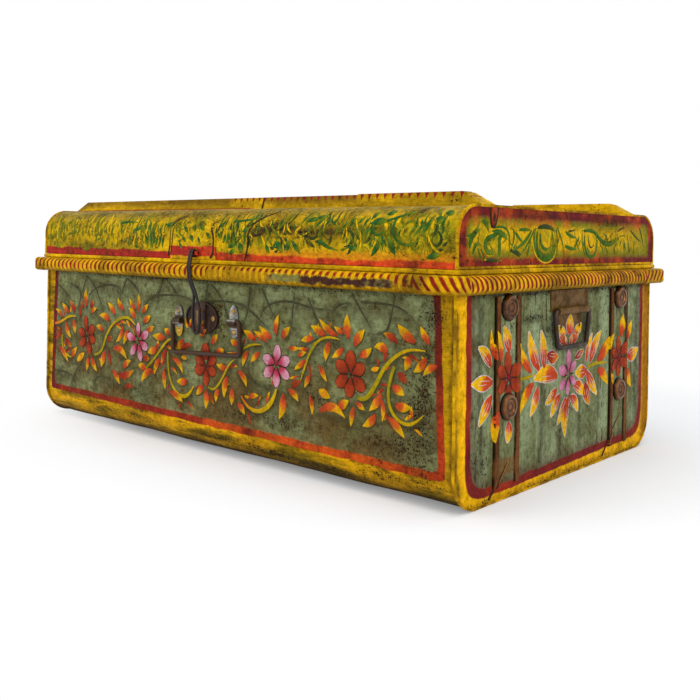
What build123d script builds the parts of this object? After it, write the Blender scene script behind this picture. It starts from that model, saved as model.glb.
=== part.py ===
from build123d import *
import os
from math import asin, atan2, cos, radians, sin

os.makedirs("parts", exist_ok=True)

# A travelling trunk of sheet iron.  Millimetres, +X along the length, -Y the front,
# +Z up, origin on the floor under the middle of the body.

# ---- body and lid, driving sizes ----
body_length = 760.0
body_depth = 474.0
split_height = 243.0        # where the lid lands on the rim moulding
lid_height = 71.5           # from the split to the lid's flat top
sheet = 0.9                 # sheet iron of body and lid
body_roll = 42.0            # rolled bottom edges, outside
lid_roll = 34.0             # rolled top edges, outside
lid_outset = 3.0            # lid skin stands outside the body skin
neck_rise = 8.0             # body sheet that rises inside the closed lid
hem_width = 2.5             # folded seam between wrap and end panel
hem_rise = 1.2

# ---- rim moulding of the body ----
rim_depth = 14.5
rim_height = 20.0
rim_wall = 1.0
rim_nose = 8.0              # rounding of the straight lengths
sleeve_nose = 4.5           # the corner sleeves are boxier
sleeve_long = 57.0
sleeve_short = 20.0
rim_gap = 0.4               # between the moulding's top and the lid's ledge
rod_radius = 3.0
rod_corner = 9.0
rod_rest = 0.05             # rod clear of the moulding that it lies on

# ---- ledge round the lid's lower edge ----
ledge_depth = 2.6
ledge_height = 5.2
ledge_round = 1.6

# ---- stiffening rails on the lid ----
rail_height = 14.5
rail_foot = 27.0
rail_crown = 19.0
rail_wall = 1.2
rail_centre = 174.5         # from the middle of the lid
rail_slope = 26.0           # length of the hipped end
rail_hem_gap = 0.2
rail_cap_left = 54.0        # whole length of the left cap
rail_cap_right = 30.0
rail_joint_a = 49.0
rail_joint_b = 206.0
rail_lap = 1.0              # the right-hand length sits this much higher

# ---- rivets ----
rivet_clear = 0.05
peen_rise = 0.8
peen_extra = 1.0

# ---- hasp ----
hasp_x = -20.0
hasp_plate_width = 90.0
hasp_plate_middle = -25.0
hasp_plate = 1.0
hasp_plate_gap = 0.5        # above the ledge
hasp_plate_wrap = 18.0      # degrees of the roll that the plate covers
hasp_wire = 1.8             # radius of the wire
hasp_strand = 1.9           # each strand's distance from the middle of the pair
hasp_pin = 1.5
hasp_pin_play = 0.08
hasp_pin_length = 22.0
hasp_pin_stand = 2.6        # pin centre in front of the plate
hasp_lug = 5.0
hasp_slot_clear = 0.8
hasp_rim_clear = 0.9        # wire in front of the moulding
hasp_eye_half = 6.6
hasp_eye_rise = 11.0         # eye's shoulder above the middle of the boss
hasp_eye_fall = 19.0        # eye's foot below it
hasp_eye_taper = 14.0       # height over which the eye's foot narrows
hasp_neck_drop = 18.0       # where the strands part, below the moulding
hasp_shift_high = 4.5       # the wire leans to the right on its way down
hasp_shift_low = 6.5
hasp_neck_shift = 15.0
hasp_eye_shift = 17.6
hasp_bend = 9.0
hasp_bend_neck = 7.0
hasp_bend_foot = 3.9
hasp_foot_gap = 2.0         # from the plate's foot to its slot
staple_clear = 1.2          # between the staple and the hanging eye

# ---- boss plate and staple under the hasp ----
boss_x = -6.3
boss_drop = 69.0            # below the split
boss_half_width = 31.0      # the plate is an oval
boss_half_height = 20.6
boss_plate = 2.0
boss_rim = 2.0
boss_rim_rise = 1.4
boss_rib = 4.0
boss_rib_rise = 1.6
boss_rib_x = 6.2            # from the boss's middle
staple_x = -4.9
staple_width = 5.0
staple_height = 20.0
staple_reach = 11.8
staple_strap = 2.0
staple_play = 0.1
staple_tail = 1.5           # of each leg, inside the body
boss_rivet_x = 21.5
boss_rivet_radius = 3.2
boss_rivet_rise = 1.4
boss_shank = 1.4

# ---- wire handle on the front ----
front_tilt = 3.0            # degrees, it was fitted a little crooked
front_pivot_drop = 73.2     # below the split
front_half = 65.3
front_drop = 41.0
front_wire = 2.75
front_bend = 3.5
front_end = 47.0            # where the wire's ends stop, from the middle
clip_x = 54.0
clip_width = 15.0
clip_height = 41.0
clip_sheet = 1.5
clip_play = 0.08
clip_tip = 1.8              # half-width of its pointed ends
clip_brow = 5.6             # half-width where the point begins to close
clip_brow_drop = 4.0        # from the tip
clip_taper = 11.0           # height of each point
clip_rivet_z = 13.0
clip_shank = 1.6
clip_rivet_radius = 3.2
clip_rivet_rise = 2.0
wire_stand = 0.3            # wire clear of the sheet behind it

# ---- handle on each end ----
end_handle_y = 2.5
end_plate_width = 94.0
end_plate_gap = 1.6         # below the moulding
end_plate = 1.5
end_pivot_drop = 46.0       # below the split
end_wire = 2.8
end_half_top = 43.5
end_half_foot = 36.0
end_drop = 43.0
end_bend = 5.0
end_knuckle_half = 37.0
end_flap_half = 29.0
end_flap_drop = 29.0        # below the pivot
end_play = 0.10
end_rivet_y = 37.0
end_rivet_up = 17.0         # above the pivot
end_dot_y = 23.0
end_dot_down = 19.0
end_shank = 1.4
end_rivet_radius = 2.8
end_rivet_rise = 1.4

# ---- ribbed straps and buttons on each end ----
strap_y = 138.0
strap_width = 52.0
strap_top_gap = 3.6         # below the moulding
strap_foot = 16.0
strap_web = 1.0
strap_rib = 10.0
strap_rib_rise = 2.6
strap_rib_round = 1.4
button_radius = 15.0
button_rise = 6.0
button_top_drop = 36.5      # below the split
button_low_front = 143.0
button_low_back = 156.0
button_stem = 2.5
button_dimple = 4.2         # profile of the rings, from the middle outwards
button_dish = 7.5
button_ring = 9.5
button_shoulder = 12.5
button_lip = 1.6

# ---- hinges at the back ----
hinge_x = 235.0
hinge_width = 50.0
hinge_leaf = 1.6
hinge_knuckle = 4.0
hinge_pin = 2.5
hinge_play = 0.06
hinge_rim_clear = 0.5
hinge_middle = 20.0
hinge_side_gap = 0.3
hinge_body_drop = 78.0      # foot of the body leaf, below the split
hinge_turn_gap = 3.8        # leaf's crank below the moulding
hinge_turn_rise = 9.4       # leaf's crank above the split
hinge_lid_rise = 36.0       # top of the lid leaf, above the split
hinge_foot_margin = 10.0    # rivets from the leaves' edges
hinge_turn_margin = 14.0
hinge_lid_margin_low = 8.0
hinge_lid_margin_high = 7.0
hinge_shank = 1.6
hinge_rivet_x = 16.0
hinge_rivet_radius = 3.0
hinge_rivet_rise = 1.6

# ---- small nails in the panels ----
nail_radius = 2.2
nail_rise = 1.2
nail_shank = 1.0
nail_middle = 227.3         # from the right end
nail_middle_drop = 30.4     # below the split
nail_edge = 9.0
nail_edge_drop = 59.8

# ---- values that follow ----
half_length = body_length / 2
half_depth = body_depth / 2
floor = hem_rise
neck_top = split_height + neck_rise
rim_top = split_height - rim_gap
rim_middle = rim_top - rim_height / 2
rim_bottom = rim_top - rim_height
lid_half_length = half_length + lid_outset
lid_half_depth = half_depth + lid_outset
lid_top = split_height + lid_height
lid_wall_top = lid_top - lid_roll
ledge_top = split_height + ledge_height
front_face = -half_depth
lid_front_face = -lid_half_depth
front_axis_y = front_face - wire_stand - front_wire
end_axis_x = end_plate + wire_stand + end_wire
pin_y = lid_front_face - hasp_plate - hasp_pin_stand
pin_ring = hasp_pin + hasp_pin_play + hasp_wire
button_grip = strap_web + sheet
hasp_slot_half = pin_ring + hasp_wire + hasp_slot_clear
pin_z = ledge_top + hasp_plate_gap + hasp_foot_gap + hasp_slot_half
knuckle_y = half_depth + rim_depth + hinge_rim_clear + hinge_knuckle
boss_z = split_height - boss_drop
front_pivot_z = split_height - front_pivot_drop
end_plate_top = rim_bottom - end_plate_gap
end_pivot_z = split_height - end_pivot_drop
end_flap_foot = end_pivot_z - end_flap_drop
end_rivet_z = end_pivot_z + end_rivet_up
end_dot_z = end_pivot_z - end_dot_down
strap_top = rim_bottom - strap_top_gap
hinge_body_foot = split_height - hinge_body_drop
hinge_turn_low = rim_bottom - hinge_turn_gap
hinge_turn_high = split_height + hinge_turn_rise
hinge_lid_top = split_height + hinge_lid_rise


def write(builder, name):
    """Label a finished piece and write it to its own file."""
    builder.part.label = name
    export_step(builder.part, f"parts/{name}.step")


def rolled_section(half_width, low, high, roll, inset, rolled_top=False):
    """Face of a box section in the YZ plane with its two low, or top, edges rolled.

    inset shrinks the sides and the rolled edge by a sheet."""
    shift = -inset / 2 if rolled_top else inset / 2
    with BuildSketch(mode=Mode.PRIVATE) as face:
        with Locations((0, (low + high) / 2 + shift)):
            Rectangle(2 * (half_width - inset), high - low - inset)
        rolled = face.vertices().group_by(Axis.Y)[-1 if rolled_top else 0]
        fillet(rolled, roll - inset)
    return face.sketch


def rivet(head_radius, head_rise, shank_radius, grip):
    """A dome-headed rivet along +Z, its head seated on the plane z = 0."""
    dome = (head_radius ** 2 + head_rise ** 2) / (2 * head_rise)
    half_turn = asin(min(1.0, head_radius / dome)) / 2
    mid = (dome * sin(half_turn), head_rise - dome + dome * cos(half_turn))
    peen = shank_radius + peen_extra
    with BuildPart(mode=Mode.PRIVATE) as stud:
        with BuildSketch(Plane.XZ):
            with BuildLine():
                ThreePointArc((head_radius, 0), mid, (0, head_rise))
                Polyline(
                    (0, head_rise),
                    (0, -grip - peen_rise),
                    (peen, -grip - peen_rise),
                    (peen, -grip),
                    (shank_radius, -grip),
                    (shank_radius, 0),
                    (head_radius, 0),
                )
            make_face()
        revolve(axis=Axis.Z)
    return stud.part


def rivets(name, stud, planes):
    """One node of identical rivets, one on each plane."""
    with BuildPart() as group:
        with Locations(*planes):
            add(stud)
    write(group, name)


def on_front(x, z, stand=0.0):
    return Plane(origin=(x, front_face - stand, z), x_dir=(1, 0, 0), z_dir=(0, -1, 0))


def on_back(x, z, face, stand=0.0):
    return Plane(origin=(x, face + stand, z), x_dir=(-1, 0, 0), z_dir=(0, 1, 0))


def on_end(side, y, z, stand=0.0):
    return Plane(
        origin=(side * (half_length + stand), y, z), x_dir=(0, side, 0), z_dir=(side, 0, 0)
    )


def on_clip(x, z):
    """Plane on the front panel in the crooked frame of the front handle."""
    turn = radians(front_tilt)
    place_x = x * cos(turn) - z * sin(turn)
    place_z = front_pivot_z + x * sin(turn) + z * cos(turn)
    return Plane(
        origin=(place_x, front_face, place_z),
        x_dir=(cos(turn), 0, sin(turn)),
        z_dir=(0, -1, 0),
    )


def drill(planes, radius, depth):
    """Cut a round hole into the sheet behind each plane."""
    with Locations(*planes):
        Cylinder(
            radius,
            depth,
            align=(Align.CENTER, Align.CENTER, Align.MAX),
            mode=Mode.SUBTRACT,
        )


def wire_sweep(line_builder, radius):
    """Sweep a round wire along the line of a BuildLine."""
    path = line_builder.wires()[0]
    with BuildSketch(Plane(origin=path @ 0, z_dir=path % 0), mode=Mode.PRIVATE) as round_wire:
        Circle(radius)
    sweep(sections=round_wire.sketch, path=path)


def staple_slots(plane_depth):
    """Cut the two slots that the staple's legs pass through."""
    for edge in (-1, 1):
        leg_z = boss_z + edge * (staple_height - staple_strap) / 2
        with Locations((staple_x, front_face, leg_z)):
            Box(
                staple_width + 2 * staple_play,
                2 * plane_depth,
                staple_strap + 2 * staple_play,
                mode=Mode.SUBTRACT,
            )


# ---- where the rivets go ----
clip_spots = [(side * clip_x, step * clip_rivet_z) for side in (-1, 1) for step in (-1, 1)]
clip_planes = [on_clip(x, z) for x, z in clip_spots]
boss_spots = [(boss_x + boss_rivet_x, boss_z)]
end_rivet_spots = [
    (end_handle_y - end_rivet_y, end_rivet_z),
    (end_handle_y + end_rivet_y, end_rivet_z),
    (end_handle_y - end_dot_y, end_dot_z),
    (end_handle_y + end_dot_y, end_dot_z),
]
button_spots = [
    (-strap_y, split_height - button_top_drop),
    (-strap_y, split_height - button_low_front),
    (strap_y, split_height - button_top_drop),
    (strap_y, split_height - button_low_back),
]
hinge_body_z = (hinge_body_foot + hinge_foot_margin, hinge_turn_low - hinge_turn_margin)
hinge_lid_z = (hinge_turn_high + hinge_lid_margin_low, hinge_lid_top - hinge_lid_margin_high)
hinge_spots = [(hx + rx) for hx in (-hinge_x, hinge_x) for rx in (-hinge_rivet_x, hinge_rivet_x)]
nail_spots = [
    (half_length - nail_middle, split_height - nail_middle_drop),
    (half_length - nail_edge, split_height - nail_edge_drop),
]
drill_depth = 4 * sheet

# ---- body: one sheet bent round front, bottom and back ----
with BuildPart() as body_wrap:
    with BuildSketch(Plane.YZ.offset(-half_length)):
        add(rolled_section(half_depth, floor, neck_top, body_roll, 0))
        add(rolled_section(half_depth, floor, neck_top, body_roll, sheet), mode=Mode.SUBTRACT)
    extrude(amount=body_length)
    hem_top = rim_bottom - 0.3
    for side in (-1, 1):
        with BuildSketch(Plane.YZ.offset(side * (half_length - hem_width))):
            add(rolled_section(half_depth + hem_rise, 0, hem_top, body_roll + hem_rise, 0))
            add(rolled_section(half_depth, floor, hem_top, body_roll, 0), mode=Mode.SUBTRACT)
        extrude(amount=side * hem_width)
        with BuildSketch(Plane.YZ.offset(side * half_length)):
            add(rolled_section(half_depth + hem_rise, 0, hem_top, body_roll + hem_rise, 0))
            add(
                rolled_section(half_depth, floor, hem_top, body_roll, 2 * sheet),
                mode=Mode.SUBTRACT,
            )
        extrude(amount=side * hem_rise)
    drill(clip_planes, clip_shank + rivet_clear, drill_depth)
    drill([on_front(x, z) for x, z in boss_spots], boss_shank + rivet_clear, drill_depth)
    staple_slots(drill_depth)
    drill([on_front(x, z) for x, z in nail_spots], nail_shank + rivet_clear, drill_depth)
    drill(
        [on_back(x, z, half_depth) for x in hinge_spots for z in hinge_body_z],
        hinge_shank + rivet_clear,
        drill_depth,
    )
write(body_wrap, "body_wrap")

# ---- flat end panels, let into the wrap ----
for side, name in ((-1, "body_end_left"), (1, "body_end_right")):
    with BuildPart() as body_end:
        with BuildSketch(Plane.YZ.offset(side * half_length)):
            add(rolled_section(half_depth, floor, neck_top, body_roll, sheet))
        extrude(amount=-side * sheet)
        drill([on_end(side, y, z) for y, z in end_rivet_spots], end_shank + rivet_clear, drill_depth)
        drill([on_end(side, y, z) for y, z in button_spots], button_stem + rivet_clear, drill_depth)
    write(body_end, name)


def rim_face(nose):
    """Closed section of the moulding: x outwards from the body skin, y up."""
    with BuildSketch(mode=Mode.PRIVATE) as face:
        with Locations((rim_depth / 2, 0)):
            Rectangle(rim_depth, rim_height)
        fillet(face.vertices().group_by(Axis.X)[-1], nose)
        with BuildSketch(mode=Mode.PRIVATE) as hollow:
            with Locations((rim_depth / 2, 0)):
                Rectangle(rim_depth - 2 * rim_wall, rim_height - 2 * rim_wall)
            fillet(hollow.vertices().group_by(Axis.X)[-1], nose - rim_wall)
        add(hollow.sketch, mode=Mode.SUBTRACT)
    return face.sketch


# ---- straight lengths of the moulding, between the corner sleeves ----
rim_from_long = half_length + rim_depth - sleeve_long
rim_to_short = half_length + rim_depth - sleeve_short
rim_side_long = half_depth + rim_depth - sleeve_long
rim_side_short = half_depth + rim_depth - sleeve_short
rim_runs = (
    ("rim_front", (-rim_to_short, -half_depth), (1, 0, 0), (0, -1, 0), rim_to_short + rim_from_long),
    ("rim_back", (rim_to_short, half_depth), (-1, 0, 0), (0, 1, 0), rim_to_short + rim_from_long),
    ("rim_right", (half_length, -rim_side_short), (0, 1, 0), (1, 0, 0), rim_side_short + rim_side_long),
    ("rim_left", (-half_length, rim_side_short), (0, -1, 0), (-1, 0, 0), rim_side_short + rim_side_long),
)
for name, start, along, outward, run in rim_runs:
    with BuildPart() as rim:
        with BuildSketch(Plane(origin=(*start, rim_middle), x_dir=outward, z_dir=along)):
            add(rim_face(rim_nose))
        extrude(amount=run)
    write(rim, name)

# ---- corner sleeves: each has its long leg clockwise of the corner, seen from above ----
corner_runs = (
    ("rim_corner_front_right", (1, -1), (-1, 0), (0, 1)),
    ("rim_corner_back_right", (1, 1), (0, -1), (-1, 0)),
    ("rim_corner_back_left", (-1, 1), (1, 0), (0, -1)),
    ("rim_corner_front_left", (-1, -1), (0, 1), (1, 0)),
)
for name, corner, long_way, short_way in corner_runs:
    turn_x = corner[0] * half_length
    turn_y = corner[1] * half_depth
    outer_x = turn_x + corner[0] * rim_depth
    outer_y = turn_y + corner[1] * rim_depth
    with BuildPart() as sleeve:
        for way, reach in ((long_way, sleeve_long), (short_way, sleeve_short)):
            across = (corner[0] if way[0] == 0 else 0, corner[1] if way[1] == 0 else 0, 0)
            foot = (
                outer_x if way[0] else turn_x,
                outer_y if way[1] else turn_y,
                rim_middle,
            )
            with BuildSketch(Plane(origin=foot, x_dir=across, z_dir=(*way, 0))):
                with Locations((rim_depth / 2, 0)):
                    Rectangle(rim_depth, rim_height)
            extrude(amount=reach)
        rounded = sleeve.edges().filter_by(
            lambda e: abs(abs(e.center().Z - rim_middle) - rim_height / 2) < 0.01
            and (
                abs(e.center().X - outer_x) < 0.01 and abs((e @ 0).X - (e @ 1).X) < 0.01
                or abs(e.center().Y - outer_y) < 0.01 and abs((e @ 0).Y - (e @ 1).Y) < 0.01
            )
        )
        fillet(rounded, sleeve_nose)
        far_ends = [
            sleeve.faces().filter_by(
                lambda f: abs(f.normal_at().dot(Vector(*long_way, 0)) - 1) < 0.01
            ).sort_by(lambda f: f.center().dot(Vector(*long_way, 0)))[-1],
            sleeve.faces().filter_by(
                lambda f: abs(f.normal_at().dot(Vector(*short_way, 0)) - 1) < 0.01
            ).sort_by(lambda f: f.center().dot(Vector(*short_way, 0)))[-1],
        ]
        offset(amount=-rim_wall, openings=far_ends)
    write(sleeve, name)

# ---- stiffening rod, one closed ring inside the moulding ----
rod_out = rim_depth - rim_nose - rivet_clear
rod_z = rim_bottom + rim_wall + rod_rest + rod_radius
rod_x = half_length + rod_out
rod_y = half_depth + rod_out
with BuildPart() as rim_rod:
    with BuildLine() as rod_line:
        FilletPolyline(
            (rod_x, -rod_y, rod_z),
            (rod_x, rod_y, rod_z),
            (-rod_x, rod_y, rod_z),
            (-rod_x, -rod_y, rod_z),
            radius=rod_corner,
            close=True,
        )
    wire_sweep(rod_line, rod_radius)
write(rim_rod, "rim_rod")


# ---- lid: one sheet bent over front, top and back ----
hem_bottom = ledge_top + 0.3
slot_plane = Plane(origin=(hasp_x, lid_front_face, pin_z), x_dir=(1, 0, 0), z_dir=(0, -1, 0))
slot_half_width = hasp_strand + hasp_wire + hasp_slot_clear
with BuildPart() as lid_wrap:
    with BuildSketch(Plane.YZ.offset(-lid_half_length)):
        add(rolled_section(lid_half_depth, split_height, lid_top, lid_roll, 0, True))
        add(
            rolled_section(lid_half_depth, split_height, lid_top, lid_roll, sheet, True),
            mode=Mode.SUBTRACT,
        )
    extrude(amount=2 * lid_half_length)
    hem_outline = rolled_section(
        lid_half_depth + hem_rise, hem_bottom, lid_top + hem_rise, lid_roll + hem_rise, 0, True
    )
    for side in (-1, 1):
        with BuildSketch(Plane.YZ.offset(side * (lid_half_length - hem_width))):
            add(hem_outline)
            add(
                rolled_section(lid_half_depth, hem_bottom, lid_top, lid_roll, 0, True),
                mode=Mode.SUBTRACT,
            )
        extrude(amount=side * hem_width)
        with BuildSketch(Plane.YZ.offset(side * lid_half_length)):
            add(hem_outline)
            add(
                rolled_section(lid_half_depth, hem_bottom, lid_top, lid_roll, 2 * sheet, True),
                mode=Mode.SUBTRACT,
            )
        extrude(amount=side * hem_rise)
    with BuildSketch(slot_plane):
        Rectangle(2 * slot_half_width, 2 * hasp_slot_half)
    extrude(amount=-drill_depth, mode=Mode.SUBTRACT)
    drill(
        [on_back(x, z, lid_half_depth) for x in hinge_spots for z in hinge_lid_z],
        hinge_shank + rivet_clear,
        drill_depth,
    )
write(lid_wrap, "lid_wrap")

for side, name in ((-1, "lid_end_left"), (1, "lid_end_right")):
    with BuildPart() as lid_end:
        with BuildSketch(Plane.YZ.offset(side * lid_half_length)):
            add(rolled_section(lid_half_depth, split_height, lid_top, lid_roll, sheet, True))
        extrude(amount=-side * sheet)
    write(lid_end, name)

# ---- rolled ledge round the lid's foot, which lands on the moulding ----
with BuildPart() as lid_ledge:
    with BuildSketch(Plane.XY.offset(split_height)):
        Rectangle(2 * (lid_half_length + ledge_depth), 2 * (lid_half_depth + ledge_depth))
    extrude(amount=ledge_height)
    fillet(lid_ledge.edges().filter_by(Axis.Z), ledge_depth)
    flat_edges = lid_ledge.edges().group_by(Axis.Z)
    fillet(flat_edges[0] + flat_edges[-1], ledge_round)
    with BuildSketch(Plane.XY.offset(split_height)):
        Rectangle(2 * lid_half_length, 2 * lid_half_depth)
    extrude(amount=ledge_height, mode=Mode.SUBTRACT)
write(lid_ledge, "lid_ledge")

# ---- rails: open channels that stand on the lid ----
rail_lean = (rail_foot - rail_crown) / 2 / rail_height
slope_angle = atan2(rail_height, rail_slope)
rail_end = lid_half_length - hem_width - rail_hem_gap
rail_left_joint = -rail_end + rail_cap_left
rail_right_joint = rail_end - rail_cap_right


def rail_face(inset):
    """Trapezoid of the rail, foot on y = 0; inset gives the hollow."""
    foot = rail_foot / 2 - inset
    crown = rail_crown / 2 - inset + rail_lean * inset
    with BuildSketch(mode=Mode.PRIVATE) as face:
        with BuildLine():
            Polyline(
                (-foot, 0),
                (foot, 0),
                (crown, rail_height - inset),
                (-crown, rail_height - inset),
                close=True,
            )
        make_face()
    return face.sketch


def rail_channel(name, centre, start, stop, lift):
    """A straight length of channel between two joints, raised where it laps."""
    with BuildPart() as rail:
        run = Plane(origin=(start, centre, lid_top + lift), x_dir=(0, 1, 0), z_dir=(1, 0, 0))
        with BuildSketch(run):
            add(rail_face(0))
            add(rail_face(rail_wall), mode=Mode.SUBTRACT)
            for edge in (-1, 1):
                if lift:
                    with Locations((edge * (rail_foot - rail_wall) / 2, -lift / 2)):
                        Rectangle(rail_wall, lift)
        extrude(amount=stop - start)
    write(rail, name)


def rail_block(centre, side, length, inset):
    """Solid of a hipped rail end, or of its hollow."""
    tip = side * (rail_end - inset / sin(slope_angle))
    back = side * (rail_end - length - inset)
    run = Plane(origin=(back, centre, lid_top), x_dir=(0, side, 0), z_dir=(side, 0, 0))
    slope = Plane(
        origin=(tip, centre, lid_top),
        x_dir=(0, 1, 0),
        z_dir=(side * sin(slope_angle), 0, cos(slope_angle)),
    )
    with BuildPart(mode=Mode.PRIVATE) as block:
        with BuildSketch(run):
            add(rail_face(inset))
        extrude(amount=abs(tip - back))
        split(bisect_by=slope, keep=Keep.BOTTOM)
    return block.part


def rail_cap(name, centre, side, length):
    with BuildPart() as cap:
        add(rail_block(centre, side, length, 0))
        add(rail_block(centre, side, length, rail_wall), mode=Mode.SUBTRACT)
    write(cap, name)


for side, row in ((-1, "front"), (1, "back")):
    centre = side * rail_centre
    rail_channel(f"rail_{row}_left", centre, rail_left_joint, rail_joint_a, 0)
    rail_channel(f"rail_{row}_middle", centre, rail_joint_a, rail_joint_b, 0)
    rail_channel(f"rail_{row}_right", centre, rail_joint_b, rail_right_joint, rail_lap)
    rail_cap(f"rail_{row}_cap_left", centre, -1, rail_cap_left)
    rail_cap(f"rail_{row}_cap_right", centre, 1, rail_cap_right)

# ---- hasp plate: a patch that follows the lid's front and the start of its roll ----
plate_low = ledge_top + hasp_plate_gap
plate_face = lid_front_face - hasp_plate
wrap_turn = radians(hasp_plate_wrap)
outer_roll = lid_roll + hasp_plate


def roll_point(radius, turn):
    """Point on the front roll in the YZ plane, turned up from the front."""
    return (lid_front_face + lid_roll - radius * cos(turn), lid_wall_top + radius * sin(turn))


lug_depth = hasp_pin_stand + hasp_pin + hasp_plate
with BuildPart() as hasp_patch:
    with BuildSketch(Plane.YZ.offset(hasp_plate_middle - hasp_plate_width / 2)):
        with BuildLine():
            Line((lid_front_face, plate_low), (lid_front_face, lid_wall_top))
            ThreePointArc(
                (lid_front_face, lid_wall_top),
                roll_point(lid_roll, wrap_turn / 2),
                roll_point(lid_roll, wrap_turn),
            )
            Line(roll_point(lid_roll, wrap_turn), roll_point(outer_roll, wrap_turn))
            ThreePointArc(
                roll_point(outer_roll, wrap_turn),
                roll_point(outer_roll, wrap_turn / 2),
                (plate_face, lid_wall_top),
            )
            Line((plate_face, lid_wall_top), (plate_face, plate_low))
            Line((plate_face, plate_low), (lid_front_face, plate_low))
        make_face()
    extrude(amount=hasp_plate_width)
    with BuildSketch(slot_plane):
        Rectangle(2 * slot_half_width, 2 * hasp_slot_half)
    extrude(amount=2 * hasp_plate, mode=Mode.SUBTRACT)
    for edge in (-1, 1):
        lug_x = hasp_x + edge * (hasp_pin_length - hasp_lug) / 2
        with Locations((lug_x, plate_face - lug_depth / 2, pin_z)):
            Box(hasp_lug, lug_depth, 2 * (hasp_pin + hasp_plate))
    with Locations(Plane(origin=(hasp_x, pin_y, pin_z), z_dir=(1, 0, 0))):
        Cylinder(hasp_pin + hasp_pin_play / 2, hasp_plate_width, mode=Mode.SUBTRACT)
write(hasp_patch, "hasp_plate")

with BuildPart() as hasp_axle:
    with Locations(Plane(origin=(hasp_x, pin_y, pin_z), z_dir=(1, 0, 0))):
        Cylinder(hasp_pin, hasp_pin_length)
write(hasp_axle, "hasp_pin")

# ---- hasp: one wire folded double, curled round the pin, opened into an eye ----
strand_y = pin_y - pin_ring
clear_y = front_face - rim_depth - hasp_rim_clear - hasp_wire
eye_y = front_face - staple_reach - staple_clear - hasp_wire
hasp_eye_foot = boss_z - hasp_eye_fall
hasp_line = (
    (hasp_x, strand_y, pin_z, hasp_strand),
    (hasp_x + hasp_shift_high, clear_y, rim_top - hasp_strand, hasp_strand),
    (hasp_x + hasp_shift_low, clear_y, rim_bottom + hasp_strand, hasp_strand),
    (hasp_x + hasp_neck_shift, eye_y, rim_bottom - hasp_neck_drop, hasp_strand),
    (hasp_x + hasp_eye_shift, eye_y, boss_z + hasp_eye_rise, hasp_eye_half),
    (hasp_x + hasp_eye_shift, eye_y, hasp_eye_foot + hasp_eye_taper, hasp_eye_half),
    (hasp_x + hasp_eye_shift, eye_y, hasp_eye_foot, hasp_eye_half / 2),
)
hasp_bends = (hasp_bend, hasp_bend, hasp_bend, hasp_bend_neck, hasp_bend, hasp_bend_foot)
with BuildPart() as hasp_link:
    with BuildLine() as hasp_run:
        FilletPolyline(
            *[(x - half, y, z) for x, y, z, half in hasp_line],
            *[(x + half, y, z) for x, y, z, half in reversed(hasp_line)],
            radius=hasp_bends + tuple(reversed(hasp_bends)),
        )
    wire_sweep(hasp_run, hasp_wire)
    for edge in (-1, 1):
        with Locations(Plane(origin=(hasp_x + edge * hasp_strand, pin_y, pin_z), z_dir=(1, 0, 0))):
            Torus(pin_ring, hasp_wire)
write(hasp_link, "hasp_link")

# ---- boss plate, staple and the boss rivets ----
with BuildPart() as boss:
    with BuildSketch(on_front(boss_x, boss_z)):
        Ellipse(boss_half_width, boss_half_height)
    extrude(amount=boss_plate)
    with BuildSketch(on_front(boss_x, boss_z, boss_plate)):
        Ellipse(boss_half_width, boss_half_height)
        Ellipse(boss_half_width - boss_rim, boss_half_height - boss_rim, mode=Mode.SUBTRACT)
    extrude(amount=boss_rim_rise)
    with BuildSketch(on_front(boss_x + boss_rib_x, boss_z, boss_plate)):
        Rectangle(boss_rib, 2 * (boss_half_height - boss_rim))
    extrude(amount=boss_rib_rise)
    drill(
        [on_front(x, z, boss_plate) for x, z in boss_spots],
        boss_shank + rivet_clear,
        2 * boss_plate,
    )
    staple_slots(drill_depth)
write(boss, "hasp_boss")

staple_foot = front_face + sheet + staple_tail
staple_tip = front_face - staple_reach
with BuildPart() as staple:
    with BuildSketch(Plane.YZ.offset(staple_x - staple_width / 2)):
        with Locations(((staple_foot + staple_tip) / 2, boss_z)):
            Rectangle(staple_foot - staple_tip, staple_height)
        with Locations(((staple_foot + staple_tip + staple_strap) / 2, boss_z)):
            Rectangle(
                staple_foot - staple_tip - staple_strap,
                staple_height - 2 * staple_strap,
                mode=Mode.SUBTRACT,
            )
    extrude(amount=staple_width)
    fillet(staple.edges().filter_by(Axis.X).group_by(Axis.Y)[0], staple_strap)
write(staple, "hasp_staple")
rivets(
    "hasp_boss_rivet",
    rivet(boss_rivet_radius, boss_rivet_rise, boss_shank, boss_plate + sheet),
    [on_front(x, z, boss_plate) for x, z in boss_spots],
)


# ---- front handle: the wire's ends lie in two saddle clips ----
front_handle_frame = on_clip(0, 0)
with BuildPart() as front_bail:
    with BuildLine(front_handle_frame.offset(-(front_axis_y - front_face))) as front_run:
        FilletPolyline(
            (-front_end, 0),
            (-front_half, 0),
            (-front_half, -front_drop),
            (front_half, -front_drop),
            (front_half, 0),
            (front_end, 0),
            radius=front_bend,
        )
    wire_sweep(front_run, front_wire)
write(front_bail, "front_bail")

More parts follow.
